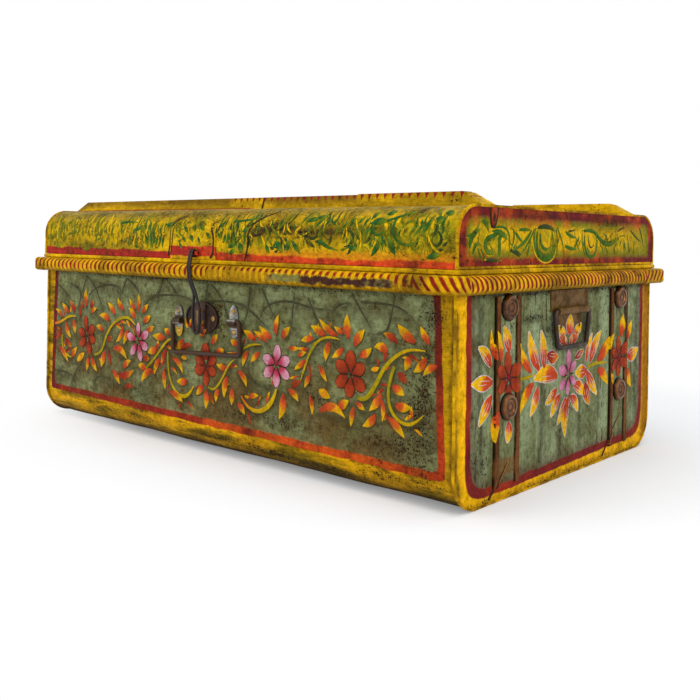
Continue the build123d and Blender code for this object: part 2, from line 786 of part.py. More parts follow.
clip_hole = front_wire + clip_play
clip_out = clip_hole + clip_sheet
clip_axis = wire_stand + front_wire
for side, name in ((-1, "front_clip_left"), (1, "front_clip_right")):
    spot = on_clip(side * clip_x, 0)
    section_plane = Plane(origin=spot.origin, x_dir=spot.z_dir, z_dir=spot.x_dir)
    with BuildPart() as clip:
        with BuildSketch(section_plane.offset(-clip_width / 2)):
            with Locations((clip_sheet / 2, 0)):
                Rectangle(clip_sheet, clip_height)
            with Locations((clip_axis, 0)):
                Circle(clip_out)
            with Locations((clip_axis, 0)):
                Circle(clip_hole, mode=Mode.SUBTRACT)
            with Locations((clip_axis / 2, 0)):
                Rectangle(clip_axis, 2 * clip_hole, mode=Mode.SUBTRACT)
            with Locations((-clip_out / 2, 0)):
                Rectangle(clip_out, 2 * clip_out, mode=Mode.SUBTRACT)
        extrude(amount=clip_width)
        for across in (-1, 1):
            for way in (-1, 1):
                tip = way * clip_height / 2
                with BuildSketch(spot):
                    with BuildLine():
                        Polyline(
                            (across * clip_width, tip - way * clip_taper),
                            (across * clip_width / 2, tip - way * clip_taper),
                            (across * clip_brow, tip - way * clip_brow_drop),
                            (across * clip_tip, tip),
                            (across * clip_tip, tip + way * clip_taper),
                            (across * clip_width, tip + way * clip_taper),
                            close=True,
                        )
                    make_face()
                extrude(amount=2 * clip_sheet, both=True, mode=Mode.SUBTRACT)
        drill(
            [p.offset(clip_sheet) for p in clip_planes],
            clip_shank + rivet_clear,
            2 * clip_sheet,
        )
    write(clip, name)
rivets(
    "front_clip_rivets",
    rivet(clip_rivet_radius, clip_rivet_rise, clip_shank, clip_sheet + sheet),
    [p.offset(clip_sheet) for p in clip_planes],
)

# ---- handles on the ends ----
end_axis = end_plate + wire_stand + end_wire
knuckle_hole = end_wire + end_play
knuckle_out = knuckle_hole + end_plate
for side, word in ((-1, "left"), (1, "right")):
    handle_frame = on_end(side, end_handle_y, end_pivot_z)
    top_rise = end_plate_top - end_pivot_z
    flap_fall = end_pivot_z - end_flap_foot
    with BuildPart() as handle_plate:
        with BuildSketch(handle_frame):
            with Locations((0, top_rise / 2)):
                Rectangle(end_plate_width, top_rise)
            with Locations((0, -flap_fall / 2)):
                Rectangle(2 * end_flap_half, flap_fall)
        extrude(amount=end_plate)
        with BuildSketch(handle_frame):
            Rectangle(2 * end_knuckle_half, 2 * knuckle_out)
        extrude(amount=end_plate)
        with Locations(Plane(origin=handle_frame.offset(end_axis).origin, z_dir=(0, 1, 0))):
            Cylinder(knuckle_out, 2 * end_knuckle_half)
            Cylinder(knuckle_hole, end_plate_width, mode=Mode.SUBTRACT)
        with BuildSketch(handle_frame):
            Rectangle(end_plate_width, 2 * knuckle_out)
        extrude(amount=-knuckle_out, mode=Mode.SUBTRACT)
        planes = [on_end(side, y, z, end_plate) for y, z in end_rivet_spots]
        drill(planes, end_shank + rivet_clear, 2 * end_plate)
    write(handle_plate, f"{word}_handle_plate")
    rivets(
        f"{word}_handle_rivets",
        rivet(end_rivet_radius, end_rivet_rise, end_shank, end_plate + sheet),
        planes,
    )
    with BuildPart() as end_bail:
        with BuildLine(handle_frame.offset(end_axis)) as end_run:
            FilletPolyline(
                (-end_half_top, 0),
                (-end_half_foot, -end_drop),
                (end_half_foot, -end_drop),
                (end_half_top, 0),
                radius=end_bend,
                close=True,
            )
        wire_sweep(end_run, end_wire)
    write(end_bail, f"{word}_bail")

    # ---- ribbed straps, and the buttons that fasten them ----
    for way, place in ((-1, "front"), (1, "back")):
        strap_middle = (strap_top + strap_foot) / 2
        strap_frame = on_end(side, way * strap_y, strap_middle)
        with BuildPart() as strap:
            with BuildSketch(strap_frame):
                Rectangle(strap_width, strap_top - strap_foot)
            extrude(amount=strap_web)
            with BuildSketch(strap_frame.offset(strap_web)):
                for edge in (-1, 1):
                    with Locations((edge * (strap_width - strap_rib) / 2, 0)):
                        Rectangle(strap_rib, strap_top - strap_foot)
            extrude(amount=strap_rib_rise - strap_web)
            ribs = strap.edges().filter_by(Axis.Z).group_by(Axis.X)[-1 if side > 0 else 0]
            fillet(ribs, strap_rib_round)
            own = [on_end(side, y, z, strap_web) for y, z in button_spots if y * way > 0]
            drill(own, button_stem + rivet_clear, 2 * strap_rib_rise)
        write(strap, f"{word}_strap_{place}")
    with BuildPart(mode=Mode.PRIVATE) as button:
        with BuildSketch(Plane.XZ):
            with BuildLine():
                Polyline(
                    (0, button_rise - button_lip),
                    (button_stem, button_rise - button_lip),
                    (button_dimple, button_rise - 1.5 * button_lip),
                    (button_dish, button_rise - 1.4 * button_lip),
                    (button_ring, button_rise),
                    (button_shoulder, button_rise - 0.4 * button_lip),
                    (button_radius, button_lip),
                    (button_radius, 0),
                    (button_stem, 0),
                    (button_stem, -button_grip),
                    (button_stem + peen_extra, -button_grip),
                    (button_stem + peen_extra, -button_grip - peen_rise),
                    (0, -button_grip - peen_rise),
                    close=True,
                )
            make_face()
        revolve(axis=Axis.Z)
    rivets(
        f"{word}_strap_buttons",
        button.part,
        [on_end(side, y, z, strap_web) for y, z in button_spots],
    )

# ---- hinges: a leaf cranked round the moulding, a leaf on the lid, a pin ----
leaf_in = half_depth + hinge_leaf / 2
run_y = half_depth + rim_depth + hinge_rim_clear + hinge_leaf / 2
lid_leaf_y = lid_half_depth + hinge_leaf / 2
for side, word in ((-1, "left"), (1, "right")):
    middle = side * hinge_x
    span = Plane.YZ.offset(middle - hinge_width / 2)
    barrel = Plane(origin=(middle, knuckle_y, split_height), z_dir=(1, 0, 0))
    with BuildPart() as body_leaf:
        with BuildSketch(span):
            with BuildLine():
                Polyline(
                    (leaf_in, hinge_body_foot),
                    (leaf_in, hinge_turn_low),
                    (run_y, hinge_turn_low),
                    (run_y, split_height),
                )
            trace(line_width=hinge_leaf)
            with Locations((knuckle_y, split_height)):
                Circle(hinge_knuckle)
                Circle(hinge_pin + hinge_play, mode=Mode.SUBTRACT)
        extrude(amount=hinge_width)
        with Locations((middle, knuckle_y, split_height)):
            Box(
                hinge_middle + 2 * hinge_side_gap,
                2 * hinge_knuckle + 2 * hinge_leaf,
                2 * hinge_knuckle + 2 * hinge_side_gap,
                mode=Mode.SUBTRACT,
            )
        drill(
            [
                on_back(middle + rx, z, half_depth, hinge_leaf)
                for rx in (-hinge_rivet_x, hinge_rivet_x)
                for z in hinge_body_z
            ],
            hinge_shank + rivet_clear,
            2 * hinge_leaf,
        )
    write(body_leaf, f"hinge_{word}_body_leaf")
    with BuildPart() as lid_leaf:
        with BuildSketch(span):
            with BuildLine():
                Polyline(
                    (lid_leaf_y, hinge_lid_top),
                    (lid_leaf_y, hinge_turn_high),
                    (run_y, hinge_turn_high),
                    (run_y, split_height),
                )
            trace(line_width=hinge_leaf)
            with Locations((knuckle_y, split_height)):
                Circle(hinge_knuckle)
                Circle(hinge_pin + hinge_play, mode=Mode.SUBTRACT)
        extrude(amount=hinge_width)
        cut_top = split_height + hinge_knuckle + hinge_side_gap
        for edge in (-1, 1):
            cut_width = (hinge_width - hinge_middle) / 2 + hinge_side_gap
            cut_x = middle + edge * (hinge_width / 2 - cut_width / 2 + hinge_side_gap)
            with Locations((cut_x, knuckle_y, cut_top)):
                Box(
                    cut_width + 2 * hinge_side_gap,
                    2 * hinge_knuckle + 2 * hinge_leaf,
                    4 * hinge_knuckle,
                    align=(Align.CENTER, Align.CENTER, Align.MAX),
                    mode=Mode.SUBTRACT,
                )
        drill(
            [
                on_back(middle + rx, z, lid_half_depth, hinge_leaf)
                for rx in (-hinge_rivet_x, hinge_rivet_x)
                for z in hinge_lid_z
            ],
            hinge_shank + rivet_clear,
            2 * hinge_leaf,
        )
    write(lid_leaf, f"hinge_{word}_lid_leaf")
    with BuildPart() as pin:
        with Locations(barrel):
            Cylinder(hinge_pin, hinge_width + 2 * hinge_side_gap)
    write(pin, f"hinge_{word}_pin")

hinge_rivet = rivet(hinge_rivet_radius, hinge_rivet_rise, hinge_shank, hinge_leaf + sheet)
rivets(
    "hinge_body_rivets",
    hinge_rivet,
    [on_back(x, z, half_depth, hinge_leaf) for x in hinge_spots for z in hinge_body_z],
)
rivets(
    "hinge_lid_rivets",
    hinge_rivet,
    [on_back(x, z, lid_half_depth, hinge_leaf) for x in hinge_spots for z in hinge_lid_z],
)
rivets(
    "panel_nails",
    rivet(nail_radius, nail_rise, nail_shank, sheet),
    [on_front(x, z) for x, z in nail_spots],
)
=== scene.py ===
"""Looks of a painted sheet-iron trunk: dented sheets, enamel with folk flowers, iron, zinc and bronze fittings."""

from functools import reduce
from math import atan2, cos, hypot, pi, radians, sin
from random import Random

import bpy
import bmesh
import numpy as np
from mathutils import Matrix, Vector, noise


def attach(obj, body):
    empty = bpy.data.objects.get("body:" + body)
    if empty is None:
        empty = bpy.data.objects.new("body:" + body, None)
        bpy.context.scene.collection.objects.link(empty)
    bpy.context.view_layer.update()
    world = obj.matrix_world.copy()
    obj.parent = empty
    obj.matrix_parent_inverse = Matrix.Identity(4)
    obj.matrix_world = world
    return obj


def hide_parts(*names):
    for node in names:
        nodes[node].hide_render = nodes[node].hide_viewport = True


MM = 0.001

# the trunk's main sizes, in millimetres
half_length = 380.0
half_depth = 237.0
neck_top = 251.0
body_roll = 42.0
lid_half_length = 383.0
lid_half_depth = 240.0
lid_foot = 248.5
lid_top = 314.5
lid_roll = 34.0
sheet = 0.9
hem_rise = 1.2
rim_split = 243.0
hem_width = 3.4
hem_fold = 3.6
paint_coat = 0.12
paint_layer = 0.14  # from one layer of strokes to the next
stand_off = 12.0  # of a flat drawing, before it is pressed onto its sheet
strap_middle = 138.0  # from the middle of an end
strap_rib = 21.0  # from the middle of its strap
button_radius = 15.0
bead_middle = 234.0
rail_joint = 49.0
tooth_period = 11.5  # of the red teeth on the rail

tree = None  # the node tree that add() builds in
# painted shade for the strap buttons: darker rings at the grooves and rim, by distance from the middle as a share of
# the radius
button_groove_shade = (
    (0.0, "#FFFFFF"), (0.2, "#E0DCD8"), (0.3, "#6A5A4A"), (0.38, "#C0B4A8"), (0.5, "#FFFFFF"),
    (0.6, "#7A6A5A"), (0.68, "#C8BEB4"), (0.82, "#FFFFFF"), (0.95, "#6A5A4A"), (1.0, "#302820"),
)

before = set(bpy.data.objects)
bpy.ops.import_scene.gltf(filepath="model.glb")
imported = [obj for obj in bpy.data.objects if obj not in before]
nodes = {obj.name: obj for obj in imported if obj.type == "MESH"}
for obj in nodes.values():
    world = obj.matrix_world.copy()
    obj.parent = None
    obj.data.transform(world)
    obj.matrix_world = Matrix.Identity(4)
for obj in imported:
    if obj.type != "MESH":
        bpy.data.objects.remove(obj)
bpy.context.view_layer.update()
hand = Random(11)
noise.seed_set(11)


# ---------------------------------------------------------------- materials


def linear(hex_colour):
    """An sRGB hex value as linear RGBA."""
    parts = [int(hex_colour[i : i + 2], 16) / 255 for i in (1, 3, 5)]
    return [p / 12.92 if p <= 0.04045 else ((p + 0.055) / 1.055) ** 2.4 for p in parts] + [1]


def open_tree(owner):
    """Empties the owner's node tree. Nodes are added to this tree until the next one is opened."""
    global tree
    owner.use_nodes = True
    tree = owner.node_tree
    tree.nodes.clear()


def add(kind, inputs=(), stops=(), **settings):
    """Adds a shader node. Its inputs take numbers, hex colours, sockets, or nodes, which give their first output."""
    made = tree.nodes.new("ShaderNode" + kind)
    for key, value in settings.items():
        setattr(made, key, value)
    if stops:
        ramp = made.color_ramp.elements
        while len(ramp) < len(stops):
            ramp.new(0.5)
        for element, (place, colour) in zip(ramp, stops):
            element.position = place
            element.color = linear(colour)
    for key, value in inputs.items() if isinstance(inputs, dict) else enumerate(inputs):
        if isinstance(value, bpy.types.Node):
            tree.links.new(value.outputs[0], made.inputs[key])
        elif isinstance(value, bpy.types.NodeSocket):
            tree.links.new(value, made.inputs[key])
        else:
            made.inputs[key].default_value = linear(value) if isinstance(value, str) else value
    return made


def calc(operation, *values, **settings):
    return add("Math", values, operation=operation, **settings)


def times(*values):
    return reduce(lambda a, b: calc("MULTIPLY", a, b), values)


def plus(a, b):
    return calc("ADD", a, b)


def minus(a, b):
    return calc("SUBTRACT", a, b)


def plus_times(a, b, c):
    """a * b + c"""
    return calc("MULTIPLY_ADD", a, b, c)


def absolute(a):
    return calc("ABSOLUTE", a)


def off(a, b):
    """The distance between two places."""
    return absolute(minus(a, b))


def remap(value, low, high, first, second):
    return add("MapRange", {0: value, 1: low, 2: high, 3: first, 4: second})


def edge(value, low, high):
    """0 below low, 1 above high, with a soft step between them."""
    return add("MapRange", {0: value, 1: low, 2: high, 3: 0.0, 4: 1.0}, interpolation_type="SMOOTHSTEP")


def mix(share, first, second):
    return add("MixRGB", (share, first, second))


def between(value, low, high, first, second):
    """The first colour below low, the second above high."""
    return mix(edge(value, low, high), first, second)


def dimmed(colour, factor):
    return add("VectorMath", {0: colour, "Scale": factor}, operation="SCALE")


def rescaled(at, scale):
    return add("Mapping", {0: at, "Scale": scale})


def cloudy(at, scale, detail, roughness=0.5):
    return add("TexNoise", {"Vector": at, "Scale": scale, "Detail": detail, "Roughness": roughness})


def mottled(at, scale, low, high, first, second):
    """Two tones of one paint, in soft clouds."""
    return between(cloudy(at, scale, 4, 0.6), low, high, first, second)


def apart(at):
    """The three coordinates of a place."""
    return add("SeparateXYZ", (at,)).outputs[:]


def fringe(value):
    """How far a value lies from the middle between two whole numbers."""
    return off(calc("FRACT", value), 0.5)


def new_material(name, wobble=3.0):
    """An empty material, with its place on the piece in millimetres, steady and shaken as a hand-held brush goes."""
    material = bpy.data.materials.new(name)
    open_tree(material)
    place = add("TexCoord").outputs["Object"]
    steady = dimmed(place, 1 / MM)
    centred = add("Mapping", {0: place, "Location": (-wobble,) * 3, "Scale": (1 / MM,) * 3})
    shake = cloudy(steady, 0.03, 4, 0.65).outputs["Color"]
    shaken = add("VectorMath", (shake, (2 * wobble,) * 3, centred), operation="MULTIPLY_ADD")
    return material, steady, shaken


def finish_shader(colour, roughness, height, relief, **inputs):
    """The material's one Principled shader, with its fine relief in millimetres."""
    bump = add("Bump", {"Strength": 1.0, "Distance": relief * MM, "Height": height})
    inputs = {key.replace("_", " "): value for key, value in inputs.items()}
    shader = add("BsdfPrincipled", {"Base Color": colour, "Roughness": roughness, "Normal": bump, **inputs})
    add("OutputMaterial", {"Surface": shader})


def weathered(
    steady, colour, chips=0.64, dirt=0.55, gloss=0.42, brush=(0.02,) * 3, relief=0.35, pitting=0.66, streaks=0.74,
):
    """Years of use on a brushed coat: uneven strokes, brown grime in the hollows, painted shade where the sheet's
    attributes carry it, and chips down to dark iron.
    """
    bristles = cloudy(rescaled(steady, brush), 12.0, 3, 0.6)
    blotches = cloudy(steady, 0.022, 5, 0.62)
    speckle = cloudy(steady, 0.16, 6, 0.72)
    grains = cloudy(steady, 0.42, 2, 0.6)
    grime_and_shade, pits_and_shade = (add("Attribute", attribute_name=name).outputs["Fac"] for name in ("grime_and_shade", "pits_and_shade"))
    colour = dimmed(colour, remap(bristles, 0.3, 0.72, streaks, 1.14))
    colour = dimmed(colour, remap(speckle, 0.4, 0.66, 1.12, pitting))
    colour = mix(remap(blotches, 0.46, 0.76, 0.0, dirt), colour, "#4A330E")
    # grime and painted shade build up fast and then no further
    thin = minus(1.0, times(grime_and_shade, remap(speckle, 0.3, 0.6, 0.75, 1.0)))
    colour = mix(plus_times(calc("POWER", thin, 2.2), -0.93, 0.93), colour, "#2C2210")
    dotted = plus_times(blotches, 0.35, plus_times(pits_and_shade, 0.3, grains))
    colour = between(dotted, 0.85, 0.89, colour, "#1E160C")
    wear = plus_times(plus_times(pits_and_shade, 0.2, blotches), 0.35, speckle)
    bare = remap(wear, chips + 0.17, chips + 0.21, 0.0, 0.9)
    colour = mix(bare, colour, mix(blotches, "#1C150F", "#5A3418"))
    rough = remap(wear, chips - 0.1, chips + 0.2, gloss, gloss + 0.3)
    finish_shader(colour, rough, plus_times(bare, -0.8, bristles), relief, Specular_IOR_Level=0.035)


def frame_distance(shaken, across, half, slant, foot, foot_slope, corner):
    """How far outside a painted frame line a point lies, in millimetres: sides, foot and rounded corners."""
    axes = apart(shaken)
    along, height = axes[across], axes[2]
    side = minus(plus_times(height, slant, absolute(along)), half + slant * 220)
    below = minus(plus_times(along, foot_slope, foot), height)
    return calc("SMOOTH_MAX", side, below, corner)


def body_enamel():
    """Brushed oil enamel on the body's wrap: grey-green fields, a red line and deep yellow edges, all dull with age."""
    material, steady, shaken = new_material("brushed_enamel_on_body_sheet")
    outside = frame_distance(shaken, 0, 352.5, 0.045, 45.5, -0.0085, 10)
    x, _, z = apart(shaken)
    field = mottled(steady, 0.02, 0.36, 0.64, "#8B9162", "#6C6A40")
    field = between(z, 120, 185, field, mottled(steady, 0.03, 0.38, 0.68, "#909A6A", "#76794C"))
    field = mottled(steady, 0.09, 0.5, 0.74, field, "#5C5632")
    soil = edge(cloudy(steady, 0.012, 4, 0.6), 0.4, 0.62)
    field = mix(times(soil, edge(z, 150, 90), 0.72), field, "#6A4C22")
    line = between(x, -352, -340, "#741C20", "#A6321A")
    line = between(x, -30, 10, line, "#D4541A")
    line = between(x, 342, 352, line, between(z, 150, 90, "#7A1A1C", "#BC3C18"))
    line = mottled(steady, 0.03, 0.42, 0.68, line, "#7E2416")
    long = rescaled(shaken, (0.16, 1, 1))
    border = mottled(long, 0.06, 0.42, 0.66, "#ECB004", "#7C6608")
    border = mottled(long, 0.11, 0.58, 0.7, border, "#6A5812")
    border = between(z, 30, 46, border, between(x, 340, 362, border, "#C49404"))
    border = between(z, 26, 4, border, "#3E2B0C")
    colour = between(outside, -1.2, 0.8, field, line)
    colour = between(outside, 8.0, 9.4, colour, border)
    weathered(steady, colour, chips=0.645, dirt=0.5, brush=(0.008, 0.03, 0.05))
    return material


def body_end_enamel(name, ribbed=False):
    """The same enamel on the flat ends, where it ran downwards. On the straps it is rubbed off the ribs."""
    material, steady, shaken = new_material(name)
    outside = frame_distance(shaken, 1, 207, 0.0, 22, 0.02, 55)
    _, y, z = apart(shaken)
    tall = rescaled(steady, (1, 1, 0.22))
    field = mottled(tall, 0.03, 0.36, 0.66, "#92A078", "#6C7248")
    field = mottled(steady, 0.02, 0.45, 0.75, field, "#5A5C36")
    field = mottled(tall, 0.14, 0.58, 0.68, field, "#54502F")
    field = mottled(steady, 0.3, 0.6, 0.68, field, "#48402A")
    field = mix(0.55, field, between(outside, -16, 0, field, "#4A2420"))
    line = mottled(steady, 0.02, 0.35, 0.7, "#741A20", "#A03018")
    border = mottled(tall, 0.05, 0.48, 0.78, "#F6B800", "#B88A00")
    border = between(y, 205, 225, border, "#A46C04")
    colour = between(outside, -1.2, 1.0, field, line)
    colour = between(outside, 8.5, 10.0, colour, border)
    if ribbed:
        aside = off(absolute(y), strap_middle)
        iron = mottled(tall, 0.06, 0.4, 0.65, "#7A4A24", "#452813")
        # painted shade: each rib darkened towards both edges, so that the flat ribs look round
        iron = between(off(aside, strap_rib), 2.2, 5.0, iron, "#24160B")
        colour = between(aside, 15.0, 16.5, colour, iron)
        foot = times(edge(z, 49, 42), edge(y, 20, 0), edge(z, 24, 30), 0.7)
        colour = mix(foot, colour, "#6E4420")
    weathered(steady, colour, chips=0.66, dirt=0.28, brush=(0.05, 0.06, 0.008), streaks=0.86)
    return material


def lid_enamel(name, rise=0.0):
    """Yellow enamel gone olive and brown on the lid's roll, above a red foot line."""
    material, steady, shaken = new_material(name)
    x, _, z = apart(shaken)
    ground = mottled(shaken, 0.03, 0.42, 0.68, "#DEB004", "#8E8A08")
    greener = times(edge(x, 170, 300), edge(z, 264, 274), edge(z, 298, 286), 0.6)
    ground = mix(greener, ground, "#8C8C10")
    ground = mottled(steady, 0.07, 0.52, 0.72, ground, "#6E5E0C")
    ground = mix(times(edge(x, -80, -180), 0.28), ground, "#6E6210")
    # hatching: the level lines of a slow noise
    hatch = add("TexNoise", {"Vector": steady, "Scale": 0.018, "Detail": 1.5, "Distortion": 0.6})
    hatch = edge(fringe(times(hatch, 34)), 0.3, 0.46)
    hatch = times(hatch, edge(cloudy(steady, 0.05, 3), 0.42, 0.56), 0.8)
    ground = mix(hatch, ground, mottled(steady, 0.03, 0.45, 0.55, "#35501A", "#4E4A0E"))
    ground = between(z, 294, 324, ground, "#807030")
    top = mottled(steady, 0.02, 0.4, 0.65, "#C89C0C", "#7A640E")
    ground = between(z, lid_top - 1.3, lid_top - 0.7, ground, top)
    line = between(x, -60, 60, "#B02A24", "#DC4A1E")
    line = mottled(steady, 0.04, 0.46, 0.7, line, "#8E2C1C")
    ground = mix(times(edge(x, 60, 120), edge(z, 268, 257)), ground, "#D88A12")
    sloped = plus_times(cloudy(steady, 0.022, 3, 0.6), -9.0, plus_times(x, 0.0055, z))
    colour = between(plus(sloped, 4.5), 256 + rise, 258.5 + rise, line, ground)
    if rise:
        colour = between(z, 253.5, 251.5, colour, "#DCA408")
    weathered(steady, colour, chips=0.65, dirt=0.6, brush=(0.008, 0.03, 0.03), gloss=0.36)
    return material


def lid_end_enamel():
    """Yellow enamel in a maroon frame on the lid's ends."""
    material, steady, shaken = new_material("brushed_enamel_on_lid_end")
    _, y, z = apart(shaken)
    outside = calc("SMOOTH_MAX", minus(absolute(y), 224), minus(z, 302), 18)
    outside = calc("SMOOTH_MAX", outside, minus(259, z), 6)
    ground = mottled(shaken, 0.03, 0.5, 0.7, "#DAAA04", "#9A900A")
    ground = mix(times(edge(y, 110, 200), 0.7), ground, "#827A10")
    ground = between(outside, -15, -3, ground, mottled(steady, 0.02, 0.48, 0.66, "#7E7A10", "#C4701A"))
    line = mottled(steady, 0.04, 0.42, 0.66, "#6E1A1E", "#B0421A")
    line = mottled(steady, 0.15, 0.5, 0.7, line, "#4A1616")
    colour = between(outside, -5, 3, ground, line)
    colour = between(outside, 19, 22, colour, "#DCA608")
    weathered(steady, colour, chips=0.66, dirt=0.4, brush=(0.03, 0.02, 0.03))
    return material


def bead_enamel(name, across, period, lean, bow, low, high, thickness=0.14, worn=None):
    """Yellow enamel with a brushed red tick every few millimetres along the rim's bead."""
    material, steady, shaken = new_material(name, wobble=0.9)
    axes = apart(shaken)
    x, y, z = axes
    along = axes[across] if across < 2 else minus(absolute(x), absolute(y))
    height = minus(z, bead_middle)
    slope = plus_times(times(height, height), bow, times(height, lean))
    if worn:
        slope = times(slope, edge(along, 20, 0))
    counted = times(plus(along, slope), 1 / period)
    gap = minus(fringe(counted), remap(cloudy(steady, 0.05, 2), 0.3, 0.7, thickness - 0.05, thickness + 0.06))
    ground = mottled(steady, 0.03, 0.46, 0.70, "#E2AC04", "#967208")
    # painted shade round each tick, as on a twisted bead
    ground = between(gap, 0.14, 0.02, ground, "#A87A08")
    # darker towards the bead's underside: painted shade on the round bead, with its ochre paint
    ground = between(z, 229, 222, ground, "#8E6808")
    ticks_from = low
    if worn:
        start, stop = worn
        short = times(edge(along, 12, 18), edge(along, stop + 12, stop - 20))
        ticks_from = plus_times(short, 8.5, low)
        frayed = minus(plus_times(cloudy(steady, 0.06, 5, 0.7), 14.0, z), 7.0)
        band = times(edge(axes[across], start, start + 12), edge(axes[across], stop, stop - 12))
        band = times(band, edge(frayed, 236.5, 234), edge(frayed, 226.0, 228.5))
        olive = mottled(steady, 0.05, 0.5, 0.62, "#85803E", "#4E2C20")
        brown = mottled(steady, 0.05, 0.3, 0.48, "#746A3C", "#42261E")
        ground = mix(band, ground, between(along, 172, 186, olive, brown))
    tick = times(edge(gap, 0.06, -0.03), edge(minus(z, ticks_from), 0, 1.5), edge(z, high, high - 1))
    colour = mix(tick, ground, mottled(steady, 0.03, 0.4, 0.6, "#9C2418", "#6E1A14"))
    weathered(steady, colour, chips=0.64, dirt=0.5, relief=0.3)
    return material


def yellow_enamel(name, tone, shade, rail=False, chips=0.63):
    """Plain yellow enamel of the rails and ledge, browned where hands go. A rail has red teeth along its top edge."""
    material, steady, shaken = new_material(name, wobble=1.0)
    colour = mottled(rescaled(shaken, (0.35, 1, 1)), 0.03, 0.38, 0.62, tone, shade)
    if rail:
        x, y, z = apart(shaken)
        gap = minus(fringe(times(x, 1 / tooth_period)), times(minus(z, 322.5), 0.035))
        tooth = times(edge(gap, 0.02, -0.02), edge(x, -14, -10), edge(y, 20, 0), edge(z, 330.4, 329.2))
        left_run = times(edge(x, rail_joint + 0.5, rail_joint - 0.5), edge(x, -8, -20))
        middle_run = times(edge(x, rail_joint - 0.5, rail_joint + 1), edge(x, 206.5, 205.5))
        browned = times(plus(left_run, middle_run), edge(z, 317, 326), 0.66)
        colour = mix(browned, colour, "#6A4A14")
        colour = between(off(x, rail_joint), 2.4, 1.0, colour, "#2E200E")
        colour = between(x, 40, 20, colour, between(z, 316.2, 315.4, colour, "#A8321C"))
        colour = mix(tooth, colour, "#932420")
    weathered(steady, colour, chips=chips, dirt=0.4, brush=(0.006, 0.03, 0.03))
    return material


def flame_paint(name, *stops, edge_pull=0.3, chips=0.68):
    """Brush paint loaded with several colours, so that a petal runs from its tip to its base in one stroke."""
    material, steady, _ = new_material(name)
    along, across, _ = apart(add("UVMap"))
    side = minus(across, 0.5)
    pulled = plus_times(side, 0.18, plus_times(absolute(side), -edge_pull, along))
    uneven = plus_times(cloudy(steady, 0.35, 2), 0.3, pulled)
    colour = add("ValToRGB", (minus(uneven, 0.15),), stops=stops)
    weathered(steady, colour, chips=chips, dirt=0.25, relief=0.2, pitting=0.84)
    return material


def fitting_metal(name, metal, tarnish, metallic, roughness, relief=0.3, spots=0.5, shine=0.5, **places):
    """An old metal fitting: bare where it is handled, tarnished in the hollows. It may be rusted about one height,
    painted below another, and ringed with painted shade in the grooves of a strap's buttons, whose heights are given."""
    material, steady, shaken = new_material(name)
    blotches = cloudy(steady, 0.05, 6, 0.7)
    grain = cloudy(steady, 0.6, 4, 0.7)
    mask = edge(blotches, spots - 0.14, spots + 0.1)
    colour = mix(mask, metal, tarnish)
    if "rusted" in places:
        colour = between(off(apart(shaken)[2], places["rusted"]), 6.0, 3.5, colour, "#3E2C1A")
    if "painted" in places:
        daub = plus_times(blotches, 24.0, apart(shaken)[2])
        colour = between(daub, places["painted"] + 14, places["painted"] + 10, colour, "#B08C14")
    if "rings" in places:
        lower_front, lower_back, upper = places["rings"]
        _, y, z = apart(steady)
        aside = minus(absolute(y), strap_middle)
        lower = plus_times(edge(y, -1, 1), lower_back - lower_front, lower_front)
        rise = calc("MINIMUM", off(z, upper), off(z, lower))
        reach = calc("POWER", plus(times(aside, aside), times(rise, rise)), 0.5)
        # painted shade: darker rings where a button's grooves lie, multiplied into the metal's colour
        dirt = add("ValToRGB", (times(reach, 1 / button_radius),), stops=button_groove_shade)
        colour = add("MixRGB", (1.0, colour, dirt), blend_type="MULTIPLY")
    rough = remap(mask, 0.0, 1.0, roughness, min(1, roughness + 0.3))
    finish_shader(colour, rough, grain, relief, Metallic=metallic, Specular_IOR_Level=shine)
    return material


# ---------------------------------------------------------------- sheets


def clear_selection():
    bpy.ops.object.select_all(action="DESELECT")


def take(piece):
    """Makes a piece the only one that the next steps work on."""
    clear_selection()
    piece.select_set(True)
    bpy.context.view_layer.objects.active = piece


def pick(piece, kind, test):
    """In edit mode, selects the faces or edges of a piece that pass a test."""
    bpy.ops.mesh.select_all(action="DESELECT")
    bpy.ops.mesh.select_mode(type=kind)
    mesh = bmesh.from_edit_mesh(piece.data)
    mesh.normal_update()
    for element in mesh.faces if kind == "FACE" else mesh.edges:
        if test(element):
            element.select_set(True)
    mesh.select_flush_mode()
    bmesh.update_edit_mesh(piece.data)


def span(edge):
    return (edge.verts[0].co - edge.verts[1].co).length / MM


def runs_along(edge, axis):
    return abs((edge.verts[0].co - edge.verts[1].co).normalized()[axis]) > 0.99


def block(name, half_x, half_y, low, high):
    """A cube primitive brought to its size and place, left in edit mode."""
    clear_selection()
    bpy.ops.mesh.primitive_cube_add(size=1, location=(0, 0, (low + high) / 2 * MM))
    piece = bpy.context.object
    piece.name = name
    piece.scale = (2 * half_x * MM, 2 * half_y * MM, (high - low) * MM)
    bpy.ops.object.transform_apply(location=True, rotation=True, scale=True)
    bpy.ops.object.mode_set(mode="EDIT")
    return piece


def roll_edges(piece, fold, roll, segments=12):
    """Rounds the two long edges at one height."""
    pick(piece, "EDGE", lambda e: runs_along(e, 0) and abs(e.verts[0].co.z / MM - fold) < 0.1)
    bpy.ops.mesh.bevel(offset=roll * MM, segments=segments, profile=0.5)


def keep_end(piece, side):
    pick(piece, "FACE", lambda f: f.normal.x * side < 0.9)
    bpy.ops.mesh.delete(type="FACE")


def cut_net(half_y, low, high, step):
    """Cuts the faces both ways into a net, so that they can bend."""
    for axis, start, stop in ((1, -half_y, half_y), (2, low, high)):
        count = round((stop - start) / step)
        for i in range(1, count):
            place, normal = [0, 0, 0], [0, 0, 0]
            place[axis] = (start + (stop - start) * i / count) * MM
            normal[axis] = 1
            bpy.ops.mesh.select_all(action="SELECT")
            bpy.ops.mesh.bisect(plane_co=place, plane_no=normal)


